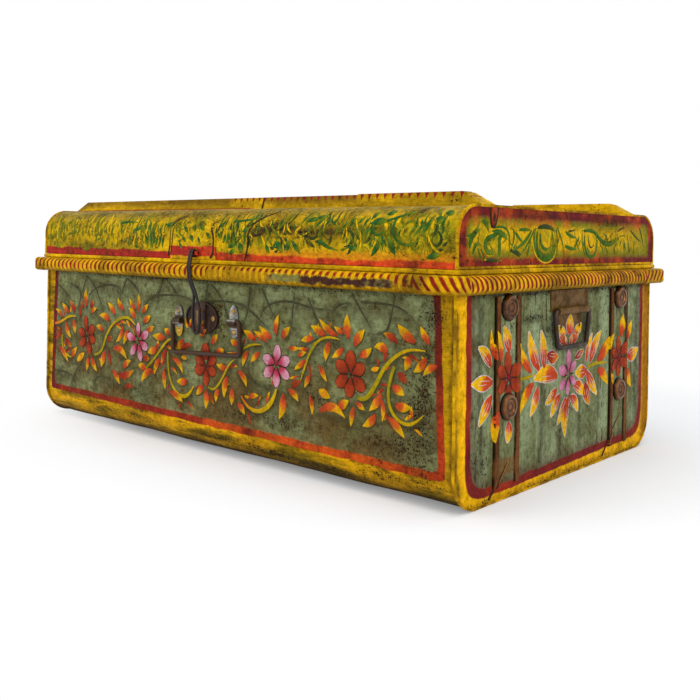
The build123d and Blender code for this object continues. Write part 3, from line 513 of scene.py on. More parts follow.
def wrap_sheet(name, half_x, half_y, low, high, roll, rolled_high, net=3.2):
    """One long sheet bent over the front, the back and the face between them."""
    piece = block(name, half_x, half_y, low, high)
    open_side = -1 if rolled_high else 1
    pick(piece, "FACE", lambda f: f.normal.z * open_side > 0.9 or abs(f.normal.x) > 0.9)
    bpy.ops.mesh.delete(type="FACE")
    roll_edges(piece, high if rolled_high else low, roll)
    for cuts in (15, 14):
        pick(piece, "EDGE", lambda e: runs_along(e, 0))
        bpy.ops.mesh.subdivide(number_cuts=cuts)
    wall = high - low - roll
    pick(piece, "EDGE", lambda e: runs_along(e, 2) and span(e) > 0.9 * wall)
    bpy.ops.mesh.subdivide(number_cuts=int(wall / net))
    pick(piece, "EDGE", lambda e: runs_along(e, 1) and span(e) > 100)
    bpy.ops.mesh.subdivide(number_cuts=24)
    bpy.ops.object.mode_set(mode="OBJECT")
    return piece


def end_sheet(name, side, x, half_y, low, high, roll, rolled_high):
    """A flat end panel with the wrap's rounded outline, cut into a net that dents and takes painted grime and painted
    shade.
    """
    piece = block(name, x, half_y, low, high)
    roll_edges(piece, high if rolled_high else low, roll)
    keep_end(piece, side)
    cut_net(half_y, low, high, 4.5)
    bpy.ops.object.mode_set(mode="OBJECT")
    return piece


def hem(name, side, x, half_y, low, high, roll, rolled_high):
    """The folded seam that stands proud round an end: a ring of sheet, beaten a little uneven."""
    piece = block(name, x, half_y, low, high)
    roll_edges(piece, high if rolled_high else low, roll, 14)
    keep_end(piece, side)
    bpy.ops.mesh.select_all(action="SELECT")
    bpy.ops.mesh.inset(thickness=hem_width * MM, use_boundary=True)
    pick(piece, "FACE", lambda f: f.calc_area() > 0.02)
    bpy.ops.mesh.delete(type="FACE")
    bpy.ops.mesh.select_all(action="SELECT")
    bpy.ops.mesh.extrude_region_move(TRANSFORM_OT_translate={"value": (-side * hem_fold * MM, 0, 0)})
    cut_net(half_y, low, high, 7)
    bpy.ops.mesh.select_all(action="SELECT")
    bpy.ops.mesh.normals_make_consistent(inside=False)
    bpy.ops.object.mode_set(mode="OBJECT")
    rounding = piece.modifiers.new("rounding", "BEVEL")
    rounding.width = 0.7 * MM
    rounding.segments = 2
    rounding.angle_limit = radians(50)
    dent(piece, 1.1, 14)
    take(piece)
    bpy.ops.object.shade_smooth_by_angle(angle=radians(60))
    return piece


def apply_modifiers(piece):
    take(piece)
    for name in [m.name for m in piece.modifiers]:
        bpy.ops.object.modifier_apply(modifier=name)


def dent(piece, depth, size):
    """Shallow dents, always inwards, so that the fittings never sink into the sheet."""
    clouds = bpy.data.textures.new(piece.name + "_dents", "CLOUDS")
    clouds.noise_scale = size * MM
    clouds.noise_depth = 1
    dents = piece.modifiers.new("dents", "DISPLACE")
    dents.texture = clouds
    dents.texture_coords = "LOCAL"
    dents.strength = depth * MM
    dents.mid_level = 1
    apply_modifiers(piece)


def thicken(piece, thickness):
    walls = piece.modifiers.new("walls", "SOLIDIFY")
    walls.thickness = thickness * MM
    walls.offset = -1
    apply_modifiers(piece)


def distance_to_line(points, line):
    """The distance of many points (rows of two numbers) to a drawn line, its corners cut twice to a smooth bow."""
    for _ in range(2 if len(line) > 2 else 0):
        rounded = [line[0]]
        for (ax, ay), (bx, by) in zip(line, line[1:]):
            rounded += [(0.75 * ax + 0.25 * bx, 0.75 * ay + 0.25 * by), (0.25 * ax + 0.75 * bx, 0.25 * ay + 0.75 * by)]
        line = rounded + [line[-1]]
    nearest = np.full(len(points), 1e9)
    for start, stop in zip(line, line[1:]):
        start, stop = np.array(start, float), np.array(stop, float)
        run = stop - start
        share = np.clip(((points - start) @ run) / (run @ run), 0, 1)
        nearest = np.minimum(nearest, np.hypot(*(points - start - share[:, None] * run).T))
    return nearest


def grime_and_shade_map(piece, axes, side_axis, side, lines, patches):
    """Paints soft dark lines and patches on one side of a sheet, grime and painted shade alike, as a vertex attribute
    that its enamel reads.
    """
    mesh = piece.data
    places = np.array([v.co for v in mesh.vertices]) / MM
    flat = places[:, axes].copy()
    shake = np.array([noise.noise_vector(Vector(p) * 0.02)[:2] for p in places])
    flat += 2 * shake
    facing = places[:, side_axis] * side > 0
    grime_and_shade, pits_and_shade = np.zeros(len(places)), np.zeros(len(places))
    for width, strength, *line in lines:
        away = distance_to_line(flat, line) / width
        grime_and_shade = np.maximum(grime_and_shade, strength * (0.7 * np.exp(-(away**2)) + 0.3 * np.exp(-((away / 3.2) ** 2))))
    for x, z, size_x, size_z, strength in patches:
        reach = ((flat[:, 0] - x) / size_x) ** 2 + ((flat[:, 1] - z) / size_z) ** 2
        pits_and_shade = np.maximum(pits_and_shade, strength * np.exp(-reach))
    for name, values in (("grime_and_shade", np.maximum(grime_and_shade, 0.8 * pits_and_shade)), ("pits_and_shade", pits_and_shade)):
        field = mesh.attributes.get(name) or mesh.attributes.new(name, "FLOAT", "POINT")
        old = np.zeros(len(places), np.float32)
        field.data.foreach_get("value", old)
        field.data.foreach_set("value", np.where(facing, np.maximum(old, values), old).astype(np.float32))


# ---------------------------------------------------------------- brush strokes


def brush_shape():
    """The flat brush's mark, which every stroke is drawn with."""
    shape = bpy.data.curves.new("brush_mark", "CURVE")
    spline = shape.splines.new("POLY")
    spline.points.add(2)
    for point, x in zip(spline.points, (-1, 0, 1)):
        point.co = (x * MM, 0, 0, 1)
    mark = bpy.data.objects.new("brush_mark", shape)
    bpy.context.scene.collection.objects.link(mark)
    return mark


brush_mark = brush_shape()
petal_profile = (0.06, 0.85, 1.3, 1.1, 0.3)
leaf_profile = (0.05, 0.7, 1.3, 1.0, 0.1)


def petal(tip_x, tip_z, base_x, base_z, width, paint=0, bend=None, profile=petal_profile):
    """One stroke from tip to base: its points, width, paint number and fullness along the way."""
    bend = hand.uniform(-0.12, 0.12) if bend is None else bend
    along, up = base_x - tip_x, base_z - tip_z
    points = []
    for i in range(5):
        t = i / 4
        bow = bend * 4 * t * (1 - t)
        points.append((tip_x + along * t - up * bow, tip_z + up * t + along * bow))
    return points, width, paint, profile


def stem(width, *points, paint=0, profile=None):
    """A long stroke of one width that thins at its end."""
    if profile is None:
        profile = [1.0] * (len(points) - 1) + [0.3]
    return list(points), width, paint, profile


def painted(*rows):
    """A table's strokes. A row of bare numbers is a petal's, a row with points a stem's, and some are stems already."""
    return [row if isinstance(row[0], list) else (stem if isinstance(row[1], tuple) else petal)(*row) for row in rows]


def draw(name, strokes, paints, wall, body, coat, target=None, swell=0.0, finer=0):
    """Draws strokes flat, stands them up on a wall of the trunk and presses them onto its sheet."""
    curve = bpy.data.curves.new(name, "CURVE")
    curve.dimensions = "3D"
    curve.twist_mode = "Z_UP"
    curve.resolution_u = 5
    curve.bevel_mode = "OBJECT"
    curve.bevel_object = brush_mark
    for paint in paints:
        curve.materials.append(paint)
    for points, width, paint, profile in strokes:
        spline = curve.splines.new("NURBS")
        spline.points.add(len(points) - 1)
        for point, (x, z), full in zip(spline.points, points, profile):
            point.co = (x * MM, z * MM, 0, 1)
            point.radius = max(0.1, width / 2 * full + swell)
        spline.order_u = 4 if len(points) > 3 else len(points)
        spline.use_endpoint_u = True
        spline.material_index = paint
    piece = bpy.data.objects.new(name, curve)
    bpy.context.scene.collection.objects.link(piece)
    take(piece)
    bpy.ops.object.convert(target="MESH")
    piece = bpy.context.object
    piece.data.transform(wall)
    if finer:
        bpy.ops.object.mode_set(mode="EDIT")
        bpy.ops.mesh.select_all(action="SELECT")
        bpy.ops.mesh.subdivide(number_cuts=finer)
        bpy.ops.object.mode_set(mode="OBJECT")
    press = piece.modifiers.new("press", "SHRINKWRAP")
    press.target = target
    press.wrap_method = "PROJECT"
    axis = max(range(3), key=lambda i: abs(wall.col[2][i]))
    press.use_project_x, press.use_project_y, press.use_project_z = (axis == 0, axis == 1, axis == 2)
    press.use_negative_direction = wall.col[2][axis] > 0
    press.use_positive_direction = wall.col[2][axis] < 0
    lift = piece.modifiers.new("lift", "DISPLACE")
    lift.mid_level = 0
    lift.strength = coat * MM
    apply_modifiers(piece)
    thicken(piece, paint_coat)
    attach(piece, body)
    return piece


def pressing_form(name, pieces):
    """The sheet and the flat fittings on it, joined, for strokes that run over them all."""
    clear_selection()
    for piece in pieces:
        copy = piece.copy()
        copy.data = piece.data.copy()
        copy.parent = None
        bpy.context.scene.collection.objects.link(copy)
        copy.hide_viewport = False
        copy.select_set(True)
        bpy.context.view_layer.objects.active = copy
    bpy.ops.object.join()
    form = bpy.context.object
    form.name = name
    return form


def standing(out, right, up=Vector((0, 0, 1))):
    """Turns a flat drawing to stand on a wall, with its face towards out, and keeps it just off the sheet."""
    turned = Matrix((right, up, out.normalized())).transposed().to_4x4()
    turned.translation = out + out.normalized() * stand_off * MM
    return turned


# ---------------------------------------------------------------- what is painted, in millimetres on each wall

# dark bows under the flowers, as scales
front_veins = [stem(2.4, *points) for points in (
    ((-352, 200), (-333, 192), (-321, 182), (-317, 178)),
    ((-318, 203), (-300, 200), (-285, 192), (-292, 178), (-297, 166)), ((-275, 217), (-283, 196), (-290, 184)),
    ((-275, 217), (-261, 209), (-247, 198), (-239, 183), (-229, 166)),
    ((-267, 189), (-254, 200), (-230, 206), (-206, 207), (-184, 203), (-190, 188)),
    ((-174, 217), (-182, 205), (-186, 192)), ((-174, 217), (-158, 212), (-147, 203), (-145, 196)),
    ((-133, 180), (-127, 189), (-112, 196), (-92, 199), (-69, 199), (-46, 199), (-29, 193), (-24, 187)),
    ((-92, 216), (-99, 205), (-103, 194), (-106, 189)), ((-80, 216), (-69, 210), (-64, 200), (-57, 193)),
    ((2, 217), (-2, 208), (-3, 196)), ((7, 217), (18, 211), (26, 203), (28, 196)),
    ((-21, 187), (-11, 193), (8, 196), (28, 197), (48, 197), (63, 195), (75, 189), (87, 184)),
    ((80, 217), (80, 206), (75, 194)), ((33, 195), (36, 182), (44, 171)),
    ((-360, 68), (-334, 71), (-315, 67), (-304, 61)), ((-286, 88), (-300, 75), (-308, 62), (-315, 51)),
    ((-250, 59), (-251, 75), (-234, 73), (-213, 71)), ((-336, 177), (-321, 164), (-313, 154)),
    ((63, 195), (79, 190), (92, 183), (105, 173), (112, 170)),
    ((83, 216), (80, 205), (77, 189), (72, 176), (68, 168)), ((101, 216), (109, 205), (116, 191), (125, 180)),
    (
        (99, 181), (102, 192), (115, 199), (132, 203), (152, 204), (171, 200), (187, 197), (205, 198), (218, 196),
        (229, 192),
    ),
    ((155, 209), (152, 193), (152, 173)), ((177, 209), (184, 197), (192, 184), (201, 170)),
    ((171, 153), (183, 159), (196, 165), (212, 169), (221, 168)), ((216, 194), (219, 203), (229, 207), (242, 206)),
    ((244, 217), (252, 205), (261, 194), (269, 185)),
    ((256, 209), (273, 209), (289, 209), (303, 208), (314, 204), (322, 198), (332, 190)),
    ((303, 219), (300, 206), (297, 192), (293, 179), (279, 175), (271, 176)), ((208, 163), (214, 162), (223, 157)),
    ((268, 144), (282, 146), (294, 148)), ((274, 160), (270, 152), (266, 142)),
    ((78, 124), (80, 110), (89, 101), (104, 97), (117, 100)), ((98, 149), (80, 147), (64, 143)),
)]
# the first row is a painted shadow under the rim's bead
front_patches = (
    (0, 222, 420, 5, 0.6), (-140, 62, 38, 14, 0.45), (-65, 205, 16, 10, 0.5), (-100, 196, 12, 12, 0.5),
    (-68, 150, 16, 10, 0.4), (5, 176, 28, 26, 0.55), (-24, 173, 10, 20, 0.95), (343, 125, 7, 100, 0.5),
    (336, 90, 22, 60, 0.5), (352, 200, 18, 20, 0.55), (200, 95, 40, 12, 0.35), (150, 62, 60, 12, 0.4),
    (300, 60, 60, 14, 0.45), (345, 70, 20, 20, 0.5), (-190, 70, 20, 12, 0.4), (60, 60, 40, 12, 0.4),
    (0, 4, 420, 7, 0.6), (-150, 24, 70, 6, 0.4), (20, 24, 60, 6, 0.5), (110, 20, 60, 7, 0.6), (200, 16, 70, 7, 0.6),
    (300, 24, 40, 7, 0.5),
)
front_stems = painted(
    stem(3.8, (-360, 141), (-345, 143), (-330, 152), (-315, 156), (-303, 155), paint=1),
    (3.8, (-340, 125), (-341, 112), (-335, 100), (-325, 94), (-312, 93)),
    (3.8, (-252, 103), (-240, 104), (-230, 115), (-225, 130), (-215, 143), (-205, 153), (-192, 158)),
    (4.2, (-200, 155), (-190, 160), (-175, 164), (-163, 162), (-152, 153)),
    (3.4, (-130, 95), (-115, 105), (-100, 120), (-88, 133), (-78, 140), (-68, 143)),
    stem(
        3.8, (-80, 124), (-80, 105), (-76, 88), (-65, 73), (-50, 66), (-35, 69), (-25, 84),
        profile=(0.6, 0.7, 0.8, 1, 1.3, 1.5, 0.4),
    ),
    (3.0, (4, 86), (12, 83), (20, 87), (28, 97), (36, 108), (43, 120), (54, 127)),
    (3.0, (69, 141), (78, 147), (90, 149), (100, 149)),
    stem(
        5.3, (66, 83), (75, 72), (92, 66), (108, 71), (122, 82), (128, 99), paint=1,
        profile=(0.4, 0.7, 0.9, 1.1, 1.3, 0.4),
    ),
    (2.7, (190, 160), (183, 150), (178, 140), (172, 125), (167, 113)),
    (3.0, (178, 140), (188, 158), (200, 167), (215, 168), (226, 166)),
    stem(
        4.6, (253, 105), (262, 103), (270, 109), (280, 124), (288, 140), (300, 152), (312, 160), (325, 165), (343, 164),
        profile=(0.8, 1.1, 1.2, 1.0, 1.0, 0.9, 0.8, 0.7, 0.3),
    ),
    (3.8, (303, 144), (295, 125), (295, 105), (303, 91), (318, 84), (330, 87), (342, 98)),
)
flame, ember, gold, rust_red = range(4)
front_petals = painted(
    (-341, 173, -322, 160, 7), (-318, 179, -305, 161, 8, ember), (-358, 163, -340, 152, 6), (-304, 130, -309, 150, 9),
    (-314, 122, -330, 146, 8, 0, 0.15), (-313, 108, -332, 120, 8, ember), (-298, 110, -314, 94, 8),
    (-322, 85, -348, 106, 8), (-278, 103, -297, 89, 9, gold), (-271, 77, -267, 98, 7), (-245, 79, -260, 99, 8),
    (-358, 116, -343, 136, 9, rust_red), (-276, 198, -274, 172, 9), (-289, 178, -280, 170, 6, ember),
    (-292, 172, -291, 155, 6, rust_red), (-255, 183, -264, 171, 8, ember), (-247, 171, -262, 163, 6),
    (-240, 161, -213, 155, 9), (-248, 145, -231, 139, 7), (-219, 181, -200, 165, 8), (-235, 86, -225, 110, 10),
    (-213, 90, -217, 112, 6, rust_red), (-195, 189, -180, 173, 8), (-198, 126, -182, 150, 7, 0, -0.15),
    (-180, 124, -169, 146, 8), (-172, 104, -205, 116, 9, 0, -0.2), (-162, 103, -180, 90, 8),
    (-154, 91, -196, 80, 9, ember, 0.12), (-188, 67, -206, 85, 8), (-155, 68, -175, 64, 7, rust_red),
    (-167, 190, -152, 176, 7), (-145, 198, -145, 173, 7), (-124, 184, -137, 172, 7), (-169, 176, -152, 162, 8),
    (-118, 169, -134, 159, 8), (-110, 155, -127, 147, 7), (-113, 142, -86, 141, 9), (-88, 153, -76, 147, 8),
    (-124, 118, -103, 125, 9), (-120, 110, -134, 108, 8, ember), (-145, 98, -128, 94, 9),
    (-137, 76, -113, 95, 9, 0, 0.15), (-108, 90, -97, 112, 8), (-93, 107, -82, 126, 7, ember), (-84, 72, -87, 100, 7),
    (-48, 98, -70, 116, 7, 0, -0.18), (-60, 86, -38, 89, 9), (-46, 60, -75, 71, 8), (-62, 128, -47, 142, 10),
    (-28, 136, -50, 130, 7, rust_red), (-51, 119, -40, 118, 6, gold), (-45, 171, -38, 158, 5, gold),
    (-15, 154, -5, 150, 5), (22, 155, 10, 142, 8), (34, 137, 19, 133, 9), (46, 149, 58, 144, 8),
    (40, 134, 58, 135, 4), (20, 117, 39, 115, 7), (35, 77, 41, 104, 9), (49, 69, 49, 90, 8), (19, 69, 25, 86, 7),
    (0, 58, 0, 82, 9), (-20, 74, -8, 88, 8), (69, 164, 90, 153, 8), (88, 164, 110, 153, 6), (97, 171, 119, 158, 8),
    (130, 187, 126, 163, 7), (149, 174, 136, 160, 8), (69, 120, 78, 139, 7), (83, 126, 99, 139, 7),
    (76, 95, 60, 113, 7, 0, -0.15), (98, 87, 80, 82, 6), (74, 61, 60, 73, 7), (133, 64, 139, 95, 10),
    (164, 89, 148, 101, 7), (165, 151, 148, 150, 5), (176, 147, 163, 141, 5), (168, 160, 186, 164, 7),
    (157, 125, 176, 138, 6), (168, 113, 153, 104, 7, rust_red), (174, 106, 183, 122, 6), (186, 77, 182, 98, 6),
    (182, 178, 205, 168, 8), (195, 187, 223, 170, 7), (218, 180, 232, 173, 5), (237, 195, 240, 168, 9),
    (262, 180, 248, 161, 9), (272, 161, 255, 151, 8), (206, 140, 212, 162, 8), (216, 145, 232, 157, 7),
    (276, 162, 293, 157, 9, 0, 0.25), (288, 178, 307, 169, 7, ember), (307, 189, 330, 172, 10),
    (336, 189, 348, 171, 7), (283, 141, 272, 138, 5, gold), (317, 141, 325, 158, 8), (328, 141, 344, 157, 8),
    (341, 139, 358, 150, 7), (319, 128, 308, 138, 8, rust_red), (317, 115, 301, 123, 9), (326, 104, 305, 104, 9),
    (318, 71, 296, 90, 8), (270, 93, 287, 113, 8), (288, 84, 286, 108, 5), (261, 75, 279, 90, 8),
    (264, 93, 252, 100, 6), (241, 100, 225, 88, 9), (244, 72, 248, 94, 6), (213, 99, 196, 106, 9, gold),
    (236, 80, 197, 82, 9, 0, -0.25), (208, 117, 196, 134, 6),
)
# each flower: its middle, then its petals' middles and sizes along and across their own length
rust_flowers = (
    (
        (-271.5, 128.3),
        (-275, 150, 22, 11), (-288, 133, 17, 13), (-258, 140, 17, 14), (-256, 124, 17, 13), (-265, 108, 17, 13),
        (-284, 117, 17, 13),
    ),
    (
        (0, 112),
        (-2, 135, 20, 15), (-14, 107, 22, 16), (12, 107, 18, 14), (0, 94, 18, 12), (14, 122, 16, 12),
        (-15, 119, 16, 12),
    ),
    (
        (243.5, 129),
        (243, 147, 22, 15), (228, 138, 18, 14), (228, 119, 18, 14), (242, 111, 20, 14), (258, 118, 19, 14),
        (257, 137, 19, 14),
    ),
)
pink_flowers = (
    (
        (-145, 133),
        (-145, 151, 18, 9), (-127, 143, 17, 12), (-129, 125, 17, 12), (-140, 111, 20, 11), (-158, 116, 18, 11),
        (-165, 137, 18, 12),
    ),
    (
        (127.5, 127.6),
        (129, 143, 22, 12), (111, 133, 18, 13), (112, 116, 17, 13), (128, 108, 20, 12), (144, 117, 18, 12),
        (144, 134, 18, 13),
    ),
)
end_rust_flowers = (
    (
        (-136, 131),
        (-138, 148, 22, 13), (-152, 139, 18, 13), (-151, 122, 18, 13), (-122, 121, 18, 13), (-122, 138, 18, 13),
        (-136, 111, 18, 13),
    ),
    (
        (140, 128),
        (138, 146, 20, 12), (125, 135, 18, 12), (125, 119, 18, 12), (139, 112, 18, 12), (152, 121, 18, 12),
        (156, 139, 20, 13),
    ),
)
end_pink_flowers = (
    (
        (3, 120),
        (3, 139, 22, 11), (-13, 126, 18, 12), (15, 129, 15, 9), (15, 111, 15, 8), (2, 103, 16, 9), (-13, 108, 14, 10),
    ),
)
end_petals = painted(
    (-195, 168, -170, 146, 13), (-207, 131, -167, 129, 16), (-192, 86, -168, 115, 15), (-163, 65, -157, 97, 14),
    (-137, 60, -135, 83, 14), (-170, 185, -161, 152, 8), (-162, 183, -153, 147, 11), (-147, 187, -136, 158, 15),
    (-115, 166, -86, 131, 12), (-92, 178, -68, 132, 16), (-65, 177, -57, 133, 15), (-110, 88, -80, 118, 14),
    (-87, 82, -70, 113, 14), (-80, 122, -25, 120, 20), (-22, 144, -50, 148, 15, ember), (42, 146, 20, 138, 9, ember),
    (20, 120, 50, 120, 16), (47, 90, 17, 106, 15), (29, 72, 9, 93, 13), (-3, 46, 4, 92, 15), (-23, 63, -3, 93, 12),
    (-39, 74, -17, 98, 13), (-52, 91, -26, 106, 12), (60, 77, 47, 105, 17, ember), (79, 87, 50, 119, 14),
    (65, 165, 48, 130, 9), (90, 166, 60, 130, 15), (122, 161, 80, 129, 17), (110, 96, 80, 118, 14),
    (152, 184, 147, 154, 15), (181, 174, 163, 148, 14), (203, 135, 168, 127, 17), (181, 85, 163, 115, 15),
    (120, 95, 115, 110, 7, gold),
)
plate_petals = painted(
    (-30, 179, -9, 156, 16), (4, 192, 3, 167, 18), (32, 179, 15, 156, 16), (-10, 168, -2, 155, 8),
    (14, 168, 6, 155, 8),
)
end_cracks_painted = painted(
    stem(2.8, (-136, 40), (-147, 28), (-157, 18), (-165, 11), (-172, 6), profile=(0.3, 0.9, 1.2, 1.1, 1.0)),
    stem(2.8, (124, 37), (117, 27), (108, 18), (101, 11), (96, 6), profile=(0.3, 1.0, 1.2, 1.0, 1.0)),
    stem(1.8, (146, 56), (140, 50), (130, 43), (124, 37), profile=(0.3, 1.0, 1.2, 1.0)),
)
end_stems = painted(
    (4, (-114, 127), (-100, 125), (-88, 126), (-76, 128)), (5, (55, 124), (75, 127), (90, 127), (106, 124)),
)
lid_leaves = painted(
    (-372, 271, -358, 279, 5), (-342, 292, -337, 268, 4), (4, (-322, 278), (-305, 283), (-292, 281)),
    (-362, 262, -355, 268, 4), (-324, 300, -320, 291, 4), (-316, 262, -305, 268, 4),
    (3.5, (-190, 295), (-170, 298), (-150, 296)), (-155, 286, -135, 289, 4), (-130, 283, -122, 262, 4),
    (-118, 284, -115, 262, 4), (-108, 290, -112, 262, 4), (-100, 278, -105, 265, 4), (-92, 282, -98, 263, 4),
    (-85, 280, -90, 262, 4), (-152, 265, -142, 263, 4), (-88, 294, -65, 296, 5), (22, 283, 28, 275, 4),
    (38, 283, 33, 270, 4), (45, 283, 38, 270, 4), (42, 265, 55, 272, 5), (44, 256, 55, 262, 5),
    (3, (50, 297), (75, 298), (100, 303)), (68, 284, 80, 290, 5), (62, 271, 68, 260, 8), (110, 271, 116, 259, 5),
    (125, 273, 137, 261, 8), (145, 262, 146, 275, 5), (152, 275, 166, 260, 5), (172, 297, 190, 299, 5),
    (184, 297, 201, 303, 3.5), (190, 290, 200, 302, 3.5), (203, 291, 212, 302, 3.5), (216, 292, 219, 301, 3.5),
    (240, 292, 247, 300, 3), (250, 294, 258, 302, 3), (260, 293, 266, 301, 3), (268, 297, 275, 308, 4),
    (268, 294, 290, 296, 7), (3, (290, 297), (310, 303), (325, 308)), (285, 305, 297, 307, 5),
    (347, 300, 338, 283, 5), (352, 300, 362, 296, 6), (360, 306, 372, 304, 5),
    (3, (302, 300), (299, 285), (308, 272), (325, 270), (336, 278)), (4.5, (197, 276), (205, 267), (225, 265)),
    (240, 268, 252, 267, 5), (272, 259, 286, 279, 6), (305, 261, 296, 281, 7), (345, 259, 362, 263, 6),
    (-282, 258, -262, 259, 5), (-44, 291, -34, 283, 5), (-26, 293, -20, 284, 5), (-12, 291, -2, 285, 5),
    (2, 283, 10, 275, 5), (-46, 278, -38, 271, 4), (-30, 280, -24, 271, 5), (-14, 278, -10, 269, 4),
    (-52, 270, -46, 262, 4),
)
lid_cracks = painted(
    stem(
        3.0, (13, 297), (11, 289), (15, 283), (17, 274), (16, 264), (16, 256), (11, 250),
        profile=(0.3, 1, 1.3, 0.8, 0.7, 0.8, 1.5),
    ),
    stem(2.6, (90, 296), (82, 289), (78, 282), (80, 272), (77, 259), (73, 249), profile=(0.3, 0.8, 1.2, 1, 1, 0.5)),
    stem(2.2, (119, 309), (104, 304), (94, 300), (86, 294), (76, 290), profile=(0.2, 0.8, 1, 1, 0.4)),
    stem(3.0, (88, 279), (96, 281), (104, 282), profile=(0.4, 1.6, 0.4)),
    stem(2.2, (-50, 303), (-62, 301), (-71, 293), (-73, 280), (-73, 265), (-77, 252), profile=(0.2, 0.8, 1, 1, 1, 1)),
    stem(1.6, (-62, 296), (-66, 284), (-66, 268), (-69, 256), profile=(0.3, 1, 1, 0.5)),
)
medallion = painted(
    stem(15, (-173, 313), (-173, 307), (-174, 299), (-175, 291), paint=1, profile=(1.1, 1.2, 1.0, 0.5)),
    stem(10, (-173, 313), (-173, 307), (-174, 300), (-175, 294), paint=0, profile=(1.1, 1.2, 1.0, 0.5)),
    (-173, 308, -174, 298, 4, 1),
)
lid_end_leaves = painted(
    (7, (-174, 287), (-163, 288), (-153, 285), (-147, 280)),
    (6, (-167, 284), (-184, 282), (-191, 276), (-189, 268), (-181, 264), (-174, 266)),
    (6, (-163, 282), (-161, 274), (-161, 266), (-165, 258)),
    (2.5, (-175, 291), (-159, 294), (-146, 291), (-142, 284), (-141, 272), (-142, 262)),
    (3, (-203, 270), (-199, 262), (-194, 256)), (3, (-197, 269), (-191, 261), (-186, 257)),
    (-219, 270, -199, 289, 6, 0, 0.2), (-222, 282, -203, 293, 5, 0, -0.2), (-212, 264, -198, 274, 4, 0, 0.3),
    (-196, 298, -184, 288, 5, 0, 0.2), stem(5, (-186, 258), (-174, 257), (-161, 257), paint=2),
    (3, (-135, 291), (-130, 284), (-133, 276), (-138, 269)), (5, (-128, 287), (-122, 280), (-114, 277)),
    (5, (-122, 290), (-109, 291), (-98, 290)), (4.5, (-95, 290), (-103, 280), (-116, 272), (-135, 268)),
    (3, (-89, 292), (-97, 279), (-107, 270), (-119, 262)),
    stem(6, (-140, 268), (-127, 266), (-116, 263), (-122, 261), paint=2), (4, (-100, 273), (-102, 265), (-105, 260)),
    (5, (-82, 289), (-84, 279), (-83, 269), (-74, 261), (-62, 258), (-50, 261), (-44, 269), (-44, 279), (-48, 290)),
    (4, (-76, 286), (-76, 276), (-68, 269), (-59, 267), (-52, 272)),
    stem(6, (-81, 293), (-66, 296), (-51, 295), (-43, 290), paint=2), (2.5, (-90, 289), (-92, 279), (-88, 269)),
    (3, (-39, 293), (-34, 282), (-37, 272), (-35, 262)), (3, (-36, 294), (-29, 285), (-21, 278), (-19, 263)),
    (6, (-14, 289), (-4, 284), (9, 283)), stem(5, (-7, 290), (9, 292), paint=2),
    (6, (-16, 273), (-3, 269), (13, 269)), (4, (19, 284), (16, 277), (6, 272)),
    (4, (34, 286), (33, 275), (38, 264), (51, 258), (65, 263), (68, 274), (64, 285)),
    (2.5, (27, 289), (26, 274), (33, 260), (47, 255)), stem(2.5, (43, 285), (45, 272), (52, 267), (59, 275), paint=2),
    (5, (32, 291), (49, 294), (67, 290), (78, 280)), (6, (67, 286), (78, 279), (93, 274), (115, 276), (123, 284)),
    (4, (104, 287), (108, 280)), stem(3, (126, 292), (138, 297), (150, 297), paint=2), (3, (134, 286), (150, 287)),
    (3, (126, 289), (129, 279)), stem(3.5, (166, 294), (178, 286), (199, 279), paint=2),
    stem(3, (194, 298), (203, 286), (208, 272), paint=2), stem(3, (158, 277), (163, 264), paint=2),
    stem(2.5, (178, 281), (175, 262), paint=2), (3, (82, 272), (83, 263)), (3, (93, 271), (97, 262)),
    stem(3, (116, 272), (120, 262), paint=2),
)


def sprays(stems):
    """Small quick strokes that leave each stem to both sides."""
    strokes = []
    for points, *_ in stems:
        for (x0, z0), (x1, z1) in zip(points, points[1:]):
            reach = max(hypot(x1 - x0, z1 - z0), 1)
            for _ in range(max(1, round(reach / 14))):
                t, side = hand.random(), hand.choice((-1, 1))
                turn = side * hand.uniform(0.5, 1.1)
                along, up = (x1 - x0) / reach, (z1 - z0) / reach
                aim = (along * cos(turn) - up * sin(turn), along * sin(turn) + up * cos(turn))
                x, z = x0 + (x1 - x0) * t - side * up * 3, z0 + (z1 - z0) * t + side * along * 3
                x, z = x + aim[0] * 3, z + aim[1] * 3
                length = hand.uniform(9, 17)
                tip = (x + aim[0] * length, z + aim[1] * length)
                strokes.append(petal(*tip, x, z, hand.uniform(2.6, 3.8), hand.choice((0, 1, 2, 3))))
    return strokes


def smaller(flowers, factor):
    """The same flowers, drawn in about their hearts."""
    return [
        ((x, z), *((x + (px - x) * factor, z + (pz - z) * factor, a * factor, b * factor) for px, pz, a, b in petals))
        for (x, z), *petals in flowers
    ]


def polar(x, z, reach, angle):
    return x + reach * cos(angle), z + reach * sin(angle)


def roses(flowers, paint=0):
    """Round petals set about a flower's middle, each one stroke that starts at the heart."""
    strokes = []
    for (x, z), *petals in flowers:
        for px, pz, length, width in petals:
            reach = hypot(px - x, pz - z)
            along, up = (px - x) / reach, (pz - z) / reach
            tip = (px + along * length / 2, pz + up * length / 2)
            inward = min(length / 2 + 3.5, reach - 0.5)
            base = (px - along * inward, pz - up * inward)
            strokes.append(petal(*tip, *base, width, paint, bend=0.0, profile=(0.42, 1.12, 1.25, 0.85, 0.4)))
    return strokes


def curl(x, z, size, turn, width, paint=0):
    """A curled stroke with leaf strokes along its back, as on a scroll border."""
    start = hand.uniform(0, 2 * pi)
    arc = [polar(x, z, size * (1 - i * 0.085), start + turn * i * 0.72) for i in range(8)]
    strokes = [stem(width, *arc, paint=paint, profile=(0.4, 0.9, 1.2, 1.2, 1.0, 0.9, 0.7, 0.3))]
    for i in range(6):
        angle = start + turn * (0.3 + i * 0.62)
        tip = polar(x, z, size * hand.uniform(1.35, 1.7), angle - turn * 0.55)
        base = polar(x, z, size * 1.02, angle)
        full = width * hand.uniform(0.9, 1.3)
        strokes.append(petal(*tip, *base, full, hand.choice((paint, paint, 1)), -0.15 * turn, leaf_profile))
    return strokes


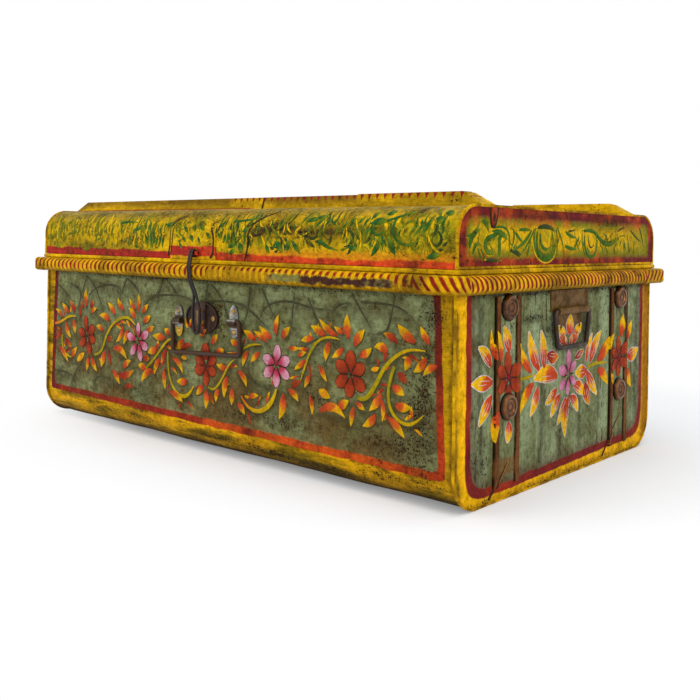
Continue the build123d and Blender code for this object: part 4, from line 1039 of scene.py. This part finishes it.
def grass(count, low, high, reach_low, reach_high, width, paints, lean=0.35):
    """Loose upright strokes between two ends of a border."""
    strokes = []
    for _ in range(count):
        x, z = hand.uniform(low, high), hand.uniform(reach_low, reach_high - 12)
        rise = hand.uniform(9, 20)
        tip = (x + rise * hand.uniform(-lean, lean), min(z + rise, 312))
        full = width * hand.uniform(0.6, 1.3)
        strokes.append(petal(*tip, x, z, full, hand.choice(paints), hand.uniform(-0.25, 0.25), leaf_profile))
    return strokes


def partings(flowers, paint=0):
    """Dark lines between a flower's petals."""
    strokes = []
    for (x, z), *petals in flowers:
        turns = sorted((atan2(pz - z, px - x), hypot(px - x, pz - z)) for px, pz, *_ in petals)
        for i, (angle, reach) in enumerate(turns):
            after, further = turns[(i + 1) % len(turns)]
            halfway = (angle + (after if after > angle else after + 2 * pi)) / 2
            far = (reach + further) / 2 * 0.95
            strokes.append(petal(*polar(x, z, far, halfway), *polar(x, z, 2, halfway), 1.5, paint, bend=0.0))
    return strokes


def echo(strokes, factor, width, paint):
    """The same strokes again about their own middles, wider or narrower set, in another paint."""
    again = []
    for points, _, _, profile in strokes:
        x, z = sum(p[0] for p in points) / len(points), sum(p[1] for p in points) / len(points)
        again.append(([(x + (px - x) * factor, z + (pz - z) * factor) for px, pz in points], width, paint, profile))
    return again


def hearts(flowers, size, paint=0):
    return [
        stem(size, (x - size * 0.35, z), (x, z), (x + size * 0.35, z), paint=paint, profile=(0.5, 1, 0.5))
        for (x, z), *_ in flowers
    ]


def fine_lines(strokes, count, paint=0, width=1.0):
    """Thin brush lines along each stroke, as the painter's last touches."""
    lines = []
    for points, full, _, _ in strokes:
        (ax, az), (bx, bz) = points[0], points[-1]
        length = hypot(bx - ax, bz - az)
        nx, nz = -(bz - az) / length, (bx - ax) / length
        for i in range(count):
            off = (i - (count - 1) / 2) * full * 0.36 + hand.uniform(-0.5, 0.5)
            start, stop = hand.uniform(0.22, 0.4), hand.uniform(0.7, 0.9)
            ends = [
                (ax + (bx - ax) * t + nx * off * f, az + (bz - az) * t + nz * off * f)
                for t, f in ((start, 0.7), ((start + stop) / 2, 1.0), (stop, 0.6))
            ]
            lines.append((ends, width, paint, (0.4, 1.0, 0.3)))
    return lines


# ---------------------------------------------------------------- the body's and the lid's skins


def coat(piece, enamel, node, body, slot):
    """Gives a skin its enamel and puts it in its node's place."""
    piece.data.materials.append(enamel)
    if node:
        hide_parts(node)
    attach(piece, body)


def moved(points, x, z):
    return [(px + x, pz + z) for px, pz in points]


hem_enamel = yellow_enamel("worn_hem_enamel", "#E4AE02", "#8C6406", chips=0.62)
body_sheet = wrap_sheet("body_sheet", half_length, half_depth, hem_rise, neck_top, body_roll, False)
dent(body_sheet, 2.0, 90)
# grime and painted shade: lines as width, strength and points, patches as middle, size and strength
front_grime_and_shade = [(2.6, 0.46, *points) for points, *_ in front_veins]
front_grime_and_shade += [(9.0, 0.34, *moved(points, 3, -6)) for points, *_ in front_veins]
front_grime_and_shade += [(4.5, 0.5, *moved(points, 2, -4)) for points, *_ in front_stems]
front_grime_and_shade += [(5.0, 0.4, *moved((points[0], points[-1]), 0, -3)) for points, *_ in front_petals]
# painted shade along the step at each hem, over the dark crack there
front_grime_and_shade += [(1.6, 0.6, (376.5, 218), (376.5, 20)), (1.8, 0.5, (-376.5, 218), (-376.5, 20))]
# the first row is a painted shadow under the rim's bead
back_patches = ((0, 221, 420, 5, 0.6), (0, 4, 420, 9, 0.8), (-120, 120, 60, 40, 0.35), (150, 80, 90, 30, 0.35))
grime_and_shade_map(body_sheet, (0, 2), 1, -1, front_grime_and_shade, front_patches)
grime_and_shade_map(body_sheet, (0, 2), 1, 1, (), back_patches)
thicken(body_sheet, sheet)
lid_sheet = wrap_sheet("lid_sheet", lid_half_length, lid_half_depth, lid_foot, lid_top, lid_roll, True)
lid_patches = (
    (130, 289, 26, 7, 0.75), (170, 284, 22, 6, 0.6), (100, 290, 18, 6, 0.7), (320, 303, 16, 6, 0.6),
    (-155, 273, 16, 6, 0.45), (-260, 262, 40, 6, 0.3), (-60, 307, 260, 5, 0.35),
)
lid_creases = (
    (4.5, 0.95, (84, 283), (97, 286), (115, 290), (137, 292), (150, 289)),
    (3.5, 1.0, (96, 283), (112, 287), (133, 289), (160, 287)),
    (3.5, 0.9, (150, 288), (170, 285), (192, 286), (215, 284), (232, 286)),
    (2.5, 0.7, (232, 287), (262, 290), (300, 286)), (2.5, 0.8, (318, 305), (333, 307)),
    (2.0, 0.7, (-75, 292), (-66, 300), (-50, 305)),
)
dent(lid_sheet, 1.2, 90)
grime_and_shade_map(lid_sheet, (0, 2), 1, -1, lid_creases, lid_patches)
thicken(lid_sheet, sheet)
# the first row is a painted shadow under the rim's bead
end_patches = (
    (0, 221, 260, 5, 0.6), (-30, 176, 34, 16, 0.4), (-85, 190, 30, 5, 0.6), (-45, 176, 16, 5, 0.6),
    (45, 168, 14, 20, 0.4), (-190, 45, 20, 16, 0.35), (0, 3, 260, 4, 0.5),
)
end_cracks_and_seam_shade = (
    (3, 0.6, (-190, 210), (-192, 120), (-186, 40)), (4, 0.45, (-120, 200), (-118, 60)),
    (4, 0.5, (-62, 180), (-58, 60), (-66, 30)), (3, 0.5, (-20, 90), (-16, 30)), (3, 0.5, (30, 100), (36, 40)),
    (3, 0.45, (80, 190), (84, 60)), (3, 0.55, (196, 200), (192, 60)),
    # the last row: painted shade along the step at the hem, over the dark crack there
    (2.5, 0.7, (-234, 200), (-235, 60), (-225, 20)),
)
lid_end_patches = ((-60, 306, 60, 4, 0.4), (110, 304, 60, 5, 0.4))
body_shape = (neck_top, body_roll, False)
lid_shape = (lid_top, lid_roll, True)
body_ends, lid_ends = {}, {}
for side, word in ((1, "right"), (-1, "left")):
    for name, x, y, foot, shape, depth, lines, patches, ends in (
        ("body", half_length, half_depth, hem_rise, body_shape, 1.0, end_cracks_and_seam_shade, end_patches, body_ends),
        ("lid", lid_half_length, lid_half_depth, lid_foot, lid_shape, 0.8, (), lid_end_patches, lid_ends),
    ):
        panel = end_sheet(f"{name}_end_sheet_{word}", side, x + 0.3, y, foot, *shape)
        dent(panel, depth, 80)
        grime_and_shade_map(panel, (1, 2), 0, side, lines, patches)
        thicken(panel, sheet)
        ends[word] = panel

for side, word in ((1, "right"), (-1, "left")):
    x, y, roll = half_length + 1.2, half_depth + hem_rise, body_roll + hem_rise
    body_hem = hem(f"body_hem_{word}", side, x, y, 0.0, rim_split, roll, False)
    x, y, roll = lid_half_length + 1.2, lid_half_depth + hem_rise, lid_roll + hem_rise
    lid_hem = hem(f"lid_hem_{word}", side, x, y, lid_foot, lid_top + hem_rise, roll, True)
    coat(body_hem, hem_enamel, None, "trunk", "painted_body")
    coat(lid_hem, hem_enamel, None, "lid", "painted_lid")

panel_enamel = body_enamel()
coat(body_sheet, panel_enamel, "body_wrap", "trunk", "painted_body")
coat(lid_sheet, lid_enamel("brushed_enamel_on_lid_sheet"), "lid_wrap", "lid", "painted_lid")
end_enamel, end_lid_enamel = body_end_enamel("brushed_enamel_on_body_end"), lid_end_enamel()
strap_enamel = body_end_enamel("rubbed_enamel_on_strap", ribbed=True)
for word in ("right", "left"):
    coat(body_ends[word], end_enamel, f"body_end_{word}", "trunk", "painted_body")
    coat(lid_ends[word], end_lid_enamel, f"lid_end_{word}", "lid", "painted_lid")

# ---------------------------------------------------------------- the painted flowers

flame_paints = [
    flame_paint(
        "yellow_to_orange_brush_paint", (0.0, "#D4A408"), (0.3, "#D09410"), (0.44, "#C8601C"), (0.75, "#B84620"),
        (1.0, "#98341E"),
    ),
    flame_paint("red_brush_paint", (0.0, "#C88C10"), (0.2, "#B8501A"), (0.45, "#A0341C"), (1.0, "#7E281A")),
    flame_paint("yellow_brush_paint", (0.0, "#DCAA04"), (0.45, "#CF7A12"), (0.7, "#D89C08"), (1.0, "#C89804")),
    flame_paint("rust_brush_paint", (0.0, "#A2421E"), (0.5, "#93341C"), (1.0, "#7A2A1A")),
]
end_flame_paints = [
    flame_paint(
        "yellow_edged_orange_brush_paint", (0.0, "#E8B606"), (0.4, "#E4A406"), (0.5, "#D8701A"), (0.6, "#C6481E"),
        (1.0, "#B23A1E"),
    ),
    flame_paint("orange_edged_red_brush_paint", (0.0, "#D08C10"), (0.3, "#C0521A"), (0.5, "#A8341C"), (1.0, "#8A281A")),
    *flame_paints[2:],
]
stem_paints = [
    flame_paint("olive_yellow_brush_paint", (0.0, "#94820E"), (0.5, "#AE9608"), (1.0, "#C8A004"), edge_pull=0),
    flame_paint(
        "orange_yellow_brush_paint", (0.0, "#D0601A"), (0.25, "#C89608"), (0.7, "#B8980C"), (1.0, "#CCA204"),
        edge_pull=0,
    ),
]
rose_paints = [
    flame_paint("rust_rose_brush_paint", (0.0, "#A8401E"), (0.5, "#98361A"), (1.0, "#7A2618"), edge_pull=0.1),
]
pink_paints = [
    flame_paint(
        "pink_rose_brush_paint", (0.0, "#D49CA8"), (0.4, "#C88296"), (0.68, "#BC4862"), (1.0, "#A0283E"), edge_pull=0.2,
    ),
]
mauve_paints = [
    flame_paint("mauve_rose_brush_paint", (0.0, "#CC8CA6"), (0.5, "#C0708E"), (1.0, "#A04464"), edge_pull=0.1),
]
vein_paints = [
    flame_paint(
        "thinned_dark_green_paint", (0.0, "#4C4C34"), (0.5, "#3C3C28"), (1.0, "#58583C"), edge_pull=0, chips=0.66,
    ),
]
shadow_paints = [flame_paint("dark_olive_brush_paint", (0.0, "#48482A"), (1.0, "#504A28"), edge_pull=0, chips=0.6)]
dark_paints = [flame_paint("brown_outline_paint", (0.0, "#3E2A1A"), (1.0, "#33241A"), edge_pull=0)]
heart_paints = [flame_paint("crimson_heart_paint", (0.0, "#8E1C30"), (1.0, "#7A1A2A"), edge_pull=0)]
white_paints = [flame_paint("white_outline_paint", (0.0, "#DAD2CE"), (1.0, "#C8BCBA"), edge_pull=0, chips=0.64)]
ring_paints = [
    flame_paint(
        "ring_green_brush_paint", (0.0, "#38601C"), (0.6, "#44661A"), (1.0, "#6C7A14"), edge_pull=0, chips=0.62,
    ),
]
green_paints = [
    flame_paint(
        "leaf_green_brush_paint", (0.0, "#2E6424"), (0.4, "#2A501E"), (0.7, "#4C6C1C"), (1.0, "#767E14"), edge_pull=0,
    ),
    flame_paint("olive_green_brush_paint", (0.0, "#7C7C10"), (0.5, "#5C6410"), (1.0, "#807A0C"), edge_pull=0),
    flame_paint("dark_green_brush_paint", (0.0, "#2A401E"), (0.5, "#33401A"), (1.0, "#56581A"), edge_pull=0),
    flame_paint("light_yellow_brush_paint", (0.0, "#E4B80C"), (0.5, "#D8AA06"), (1.0, "#B89A08"), edge_pull=0),
]

front = standing(Vector((0, -half_depth * MM, 0)), Vector((1, 0, 0)))
lid_front = standing(Vector((0, -lid_half_depth * MM, 0)), Vector((1, 0, 0)))


def ornament(word, wall, form, strokes, paints, level, swell=0.0, finer=0):
    """Strokes on the body, in a layer of their own."""
    draw(word, strokes, paints, wall, "trunk", level * paint_layer, form, swell, finer)


def lid_ornament(word, wall, form, strokes, paints, level):
    draw(word, strokes, paints, wall, "lid", level * paint_layer, form)


shadow_strokes = [
    (moved(points, 1.4, -2.0), width * 0.85, 0, profile)
    for points, width, _, profile in front_stems + front_petals[::2]
]
ornament("front_veins", front, body_sheet, front_veins, vein_paints, 0.8)
ornament("front_shadows", front, body_sheet, shadow_strokes, shadow_paints, 0.9)
ornament("front_sprays", front, body_sheet, sprays(front_stems), flame_paints, 1.2)
ornament("front_stems", front, body_sheet, front_stems, stem_paints, 1.6)
ornament("front_petals", front, body_sheet, front_petals, flame_paints, 2)
boss_form = pressing_form("boss_form", [body_sheet, nodes["hasp_boss"]])
boss_petals = painted((-2, 172, -4, 159, 5), (3, 160, -5, 153, 4.5, ember), (-27, 172, -29, 160, 4))
ornament("boss_petals", front, boss_form, boss_petals, flame_paints, 2, finer=1)
for word, flowers, paints, heart in (
    ("rust", smaller(rust_flowers, 0.9), rose_paints, dark_paints),
    ("pink", smaller(pink_flowers, 0.89), pink_paints, heart_paints),
):
    ornament(f"front_{word}_outlines", front, body_sheet, roses(flowers), dark_paints, 3, swell=0.9)
    ornament(f"front_{word}_roses", front, body_sheet, roses(flowers), paints, 4)
    ornament(f"front_{word}_partings", front, body_sheet, partings(flowers), dark_paints, 5)
    ornament(f"front_{word}_hearts", front, body_sheet, hearts(flowers, 5), heart, 5)
forms = [boss_form]
for word, side in (("right", 1), ("left", -1)):
    wall = standing(Vector((side * half_length * MM, 0, 0)), Vector((0, side, 0)))
    fittings = [nodes[f"{word}_{part}"] for part in ("strap_front", "strap_back", "handle_plate")]
    panel = pressing_form(f"{word}_form", [body_ends[word]] + fittings)
    forms.append(panel)
    ornament(f"{word}_end_stems", wall, panel, end_stems, stem_paints, 1)
    all_petals = [(points, width * 0.88, *rest) for points, width, *rest in end_petals + plate_petals]
    # a petal that climbs over a strap's rib has no white line round it
    ribs = (strap_middle - strap_rib, strap_middle + strap_rib)
    clear = [stroke for stroke in all_petals if not any(abs(abs(y) - rib) < 8 for y, _ in stroke[0] for rib in ribs)]
    outlines = [(*stroke[:2], 0, stroke[3]) for stroke in clear]
    ornament(f"{word}_end_outlines", wall, panel, outlines, white_paints, 2, swell=1.1, finer=2)
    ornament(f"{word}_end_petals", wall, panel, all_petals, end_flame_paints, 3, finer=2)
    ornament(f"{word}_end_lines", wall, panel, fine_lines(clear, 2, width=0.9), white_paints, 4, finer=1)
    edges = [(moved(points, 2, 1), width * 1.2, 0, profile) for points, width, _, profile in end_cracks_painted]
    ornament(f"{word}_end_cracks_and_seam_shade", wall, panel, edges, flame_paints[1:2], 2, finer=1)
    ornament(f"{word}_end_splits", wall, panel, end_cracks_painted, dark_paints, 3, finer=1)
    ornament(f"{word}_end_rust_roses", wall, panel, roses(end_rust_flowers), rose_paints, 4, finer=2)
    ornament(f"{word}_end_pink_roses", wall, panel, roses(end_pink_flowers), mauve_paints, 4)
    ornament(f"{word}_end_partings", wall, panel, partings(end_rust_flowers + end_pink_flowers), dark_paints, 5)
    ornament(f"{word}_end_hearts", wall, panel, hearts(end_rust_flowers, 9), heart_paints, 5)
    wall, panel = standing(Vector((side * lid_half_length * MM, 0, 0)), Vector((0, side, 0))), lid_ends[word]
    loose = grass(46, -208, 205, 261, 290, 2.4, (0, 1, 1, 3), lean=1.2)
    lid_ornament(f"{word}_lid_end_strokes", wall, panel, loose, green_paints, 1)
    broad = [stroke for stroke in lid_end_leaves if stroke[1] >= 5]
    echoes = echo(broad, 1.25, 2.0, 0) + echo(broad, 0.7, 2.0, 1) + echo(broad, 1.4, 1.6, 3)
    lid_ornament(f"{word}_lid_end_echoes", wall, panel, echoes, ring_paints + green_paints[1:], 1.5)
    brushed = [
        (points, width, paint, [0.5] + [1.1] * (len(points) - 2) + [0.3])
        for points, width, paint, _ in lid_end_leaves
    ]
    lid_ornament(f"{word}_lid_end_leaves", wall, panel, brushed, ring_paints + green_paints[1:3], 2)
    for i, part in enumerate(("edge", "fill", "core")):
        lid_ornament(f"{word}_medallion_{part}", wall, panel, medallion[i:i + 1], rose_paints + dark_paints, 3 + i)
loose = grass(110, -372, -205, 262, 306, 2.9, (1, 1, 1, 3, 3)) + grass(90, -205, -78, 261, 300, 3.0, (1, 1, 0, 3, 3))
loose += grass(60, 18, 90, 262, 306, 3.0, (0, 2, 0, 3)) + grass(120, 90, 372, 262, 308, 3.0, (1, 1, 2, 3, 0), lean=0.9)
for x, z, size, turn in (
    (-345, 284, 9, 1), (-300, 290, 8, -1), (-235, 284, 10, 1), (-170, 290, 9, -1), (-125, 294, 10, 1),
    (-45, 284, 10, 1), (55, 284, 10, -1), (130, 274, 10, 1), (185, 286, 12, -1), (238, 280, 12, 1),
    (280, 290, 10, -1), (322, 286, 15, 1), (356, 278, 10, -1),
):
    loose += curl(x, z, size, turn, 3.0, 1 if x < -70 else hand.choice((0, 1, 2)))
lid_form = pressing_form("lid_form", [lid_sheet, nodes["hasp_plate"]])
forms.append(lid_form)
lid_ornament("lid_front_strokes", lid_front, lid_form, loose, green_paints, 1)
muted = [(points, width, 1 if points[0][0] < -200 else 0, profile) for points, width, _, profile in lid_leaves]
lid_ornament("lid_front_leaves", lid_front, lid_form, muted, green_paints, 2)
lid_ornament("lid_cracks", lid_front, lid_form, lid_cracks, dark_paints, 3)
for form in forms + [brush_mark]:
    bpy.data.objects.remove(form)

# ---------------------------------------------------------------- the fittings

bead_along = bead_enamel("ticked_bead_enamel_long", 0, 10.7, -0.12, -0.045, 228.0, 241.6, 0.17, (120, 318))
bead_corner = bead_enamel("ticked_bead_enamel_corner", 2, 11.8, 0.7, -0.02, 226.0, 241.6, 0.17)
bead_across = bead_enamel("ticked_bead_enamel_end", 1, 9.0, 0.45, 0.03, 226.0, 242.4, 0.2)
rail_yellow = yellow_enamel("rail_enamel", "#E6B404", "#B08A08", rail=True, chips=0.65)
# black iron wire and plate: dark, dull, polished only where it rubs
iron = fitting_metal("forged_iron", "#1C1613", "#33221A", 0.3, 0.34, spots=0.58, shine=0.35)
# iron wire browned by hands and oil
browned_iron = fitting_metal("browned_iron", "#3E2A1A", "#2A1C12", 0.4, 0.34)
# old bronze: brown and glossy, with painted shade in the rings of the buttons' grooves
bronze = fitting_metal("tarnished_bronze", "#6A4A14", "#4A3210", 0.1, 0.4, spots=0.52, shine=0.15)
button_bronze = fitting_metal("rubbed_bronze", "#8E5C2C", "#54341A", 0.7, 0.2, 0.1, spots=0.55, rings=(100, 87, 206.5))
brass = fitting_metal("rubbed_brass", "#D8B060", "#8A6A34", 0.9, 0.3)

looks = {
    "rim_front": bead_along, "rim_back": bead_along, "rim_right": bead_across, "rim_left": bead_across,
    "rim_corner_front_right": bead_corner, "rim_corner_back_right": bead_corner,
    "rim_corner_back_left": bead_along, "rim_corner_front_left": bead_along, "rim_rod": iron,
    "lid_ledge": yellow_enamel("ledge_enamel", "#E6B404", "#AC8408", chips=0.65),
    "hasp_plate": lid_enamel("brushed_enamel_on_hasp_plate", rise=8.0), "hasp_pin": iron, "hasp_link": iron,
    # blackened by grease
    "hasp_boss": fitting_metal("blackened_bronze", "#46281A", "#24140D", 0.4, 0.34, shine=0.3),
    "hasp_staple": fitting_metal("handled_bronze", "#A47C50", "#6E4A2A", 0.6, 0.35),
    "hasp_boss_rivet": brass,
    # rusted brown under its polish
    "front_bail": fitting_metal("rusted_iron", "#35261C", "#4A2E1C", 0.3, 0.42, shine=0.3),
    # hot-dipped zinc sheet: pale grey and cloudy
    "front_clip_left": fitting_metal(
        "dipped_zinc_with_paint_daubs", "#9C9A90", "#605C50", 0.6, 0.4, rusted=169.8, painted=158,
    ),
    "front_clip_right": fitting_metal("dipped_zinc", "#A4A4A0", "#66645C", 0.85, 0.34, rusted=169.8),
    "front_clip_rivets": brass, "hinge_body_rivets": iron, "hinge_lid_rivets": iron, "panel_nails": panel_enamel,
}
for word in ("left", "right"):
    for part, look in (("handle_plate", bronze), ("handle_rivets", bronze), ("bail", browned_iron),
                       ("strap_front", strap_enamel), ("strap_back", strap_enamel), ("strap_buttons", button_bronze)):
        looks[f"{word}_{part}"] = look
    for part in ("body_leaf", "lid_leaf", "pin"):
        looks[f"hinge_{word}_{part}"] = iron
looks.update((name, rail_yellow) for name in nodes if name.startswith("rail_"))
for name, look in looks.items():
    nodes[name].data.materials.clear()
    nodes[name].data.materials.append(look)

# ---------------------------------------------------------------- floor, light and camera

# matt white paper: it shows only the soft shadow under the trunk
floor_paper = bpy.data.materials.new("white_paper")
open_tree(floor_paper)
paper = add("BsdfDiffuse", {"Color": "#FAFCFF"})
white = add("Emission", {"Color": "#FFFFFF", "Strength": 1.0})
shifted = add("Mapping", {0: add("TexCoord").outputs["Object"], "Location": (-0.19, -0.09, 0)})
away = add("VectorMath", (shifted,), operation="LENGTH").outputs["Value"]
far = add("MapRange", {0: away, 1: 0.44, 2: 0.76, 3: 0.22, 4: 1.0}, interpolation_type="SMOOTHSTEP")
seen = times(far, add("LightPath").outputs["Is Camera Ray"])
add("OutputMaterial", {"Surface": add("MixShader", (seen, paper, white))})
bpy.ops.mesh.primitive_plane_add(size=14)
floor = bpy.context.object
floor.name = "floor"
floor.data.materials.append(floor_paper)

world = bpy.data.worlds.new("studio")
bpy.context.scene.world = world
open_tree(world)
ray = add("LightPath").outputs
sight = plus(ray["Is Camera Ray"], ray["Is Glossy Ray"])
sight = calc("ADD", sight, ray["Is Transmission Ray"], use_clamp=True)
air = add("Background", {"Color": "#FFFFFF", "Strength": 0.62})
backdrop = add("Background", {"Color": "#FFFFFF", "Strength": 1.0})
add("OutputWorld", {"Surface": add("MixShader", (sight, air, backdrop))})


def soft_lamp(name, place, aim, size, power):
    """A square soft box that faces its aim."""
    light = bpy.data.lights.new(name, "AREA")
    light.size = size
    light.energy = power
    lamp = bpy.data.objects.new(name, light)
    bpy.context.scene.collection.objects.link(lamp)
    lamp.location = place
    lamp.rotation_euler = (Vector(aim) - Vector(place)).to_track_quat("-Z", "Y").to_euler()


soft_lamp("overhead_box", (0.3, -0.6, 2.4), (0, 0, 0.1), 2.2, 26)
soft_lamp("right_box", (2.4, -0.5, 1.2), (0.2, 0, 0.15), 1.4, 14)
soft_lamp("left_box", (-1.4, -2.4, 1.1), (-0.1, 0, 0.12), 1.6, 18)

# the eye, its turns, and the focal length and middle of its picture, in pixels
camera_place = Vector((879.82, -977.70, 278.18)) * MM
picture, focal, middle_x, middle_y = 700, 893.01, 333.57, 243.75
yaw, pitch, tilt = radians(41.859), radians(0.361), radians(0.813)
look = Vector((-sin(yaw) * cos(pitch), cos(yaw) * cos(pitch), -sin(pitch)))
level = Vector((cos(yaw), sin(yaw), 0))
upright = level.cross(look)
right = cos(tilt) * level + sin(tilt) * upright
up = -sin(tilt) * level + cos(tilt) * upright
lens = bpy.data.cameras.new("camera")
lens.sensor_width = 36
lens.lens = lens.sensor_width * focal / picture
lens.shift_x = (picture / 2 - middle_x) / picture
lens.shift_y = (middle_y - picture / 2) / picture
camera = bpy.data.objects.new("camera", lens)
bpy.context.scene.collection.objects.link(camera)
turned = Matrix((right, up, -look)).transposed().to_4x4()
turned.translation = camera_place
camera.matrix_world = turned
bpy.context.scene.camera = camera
bpy.context.scene.view_settings.view_transform = "Standard"
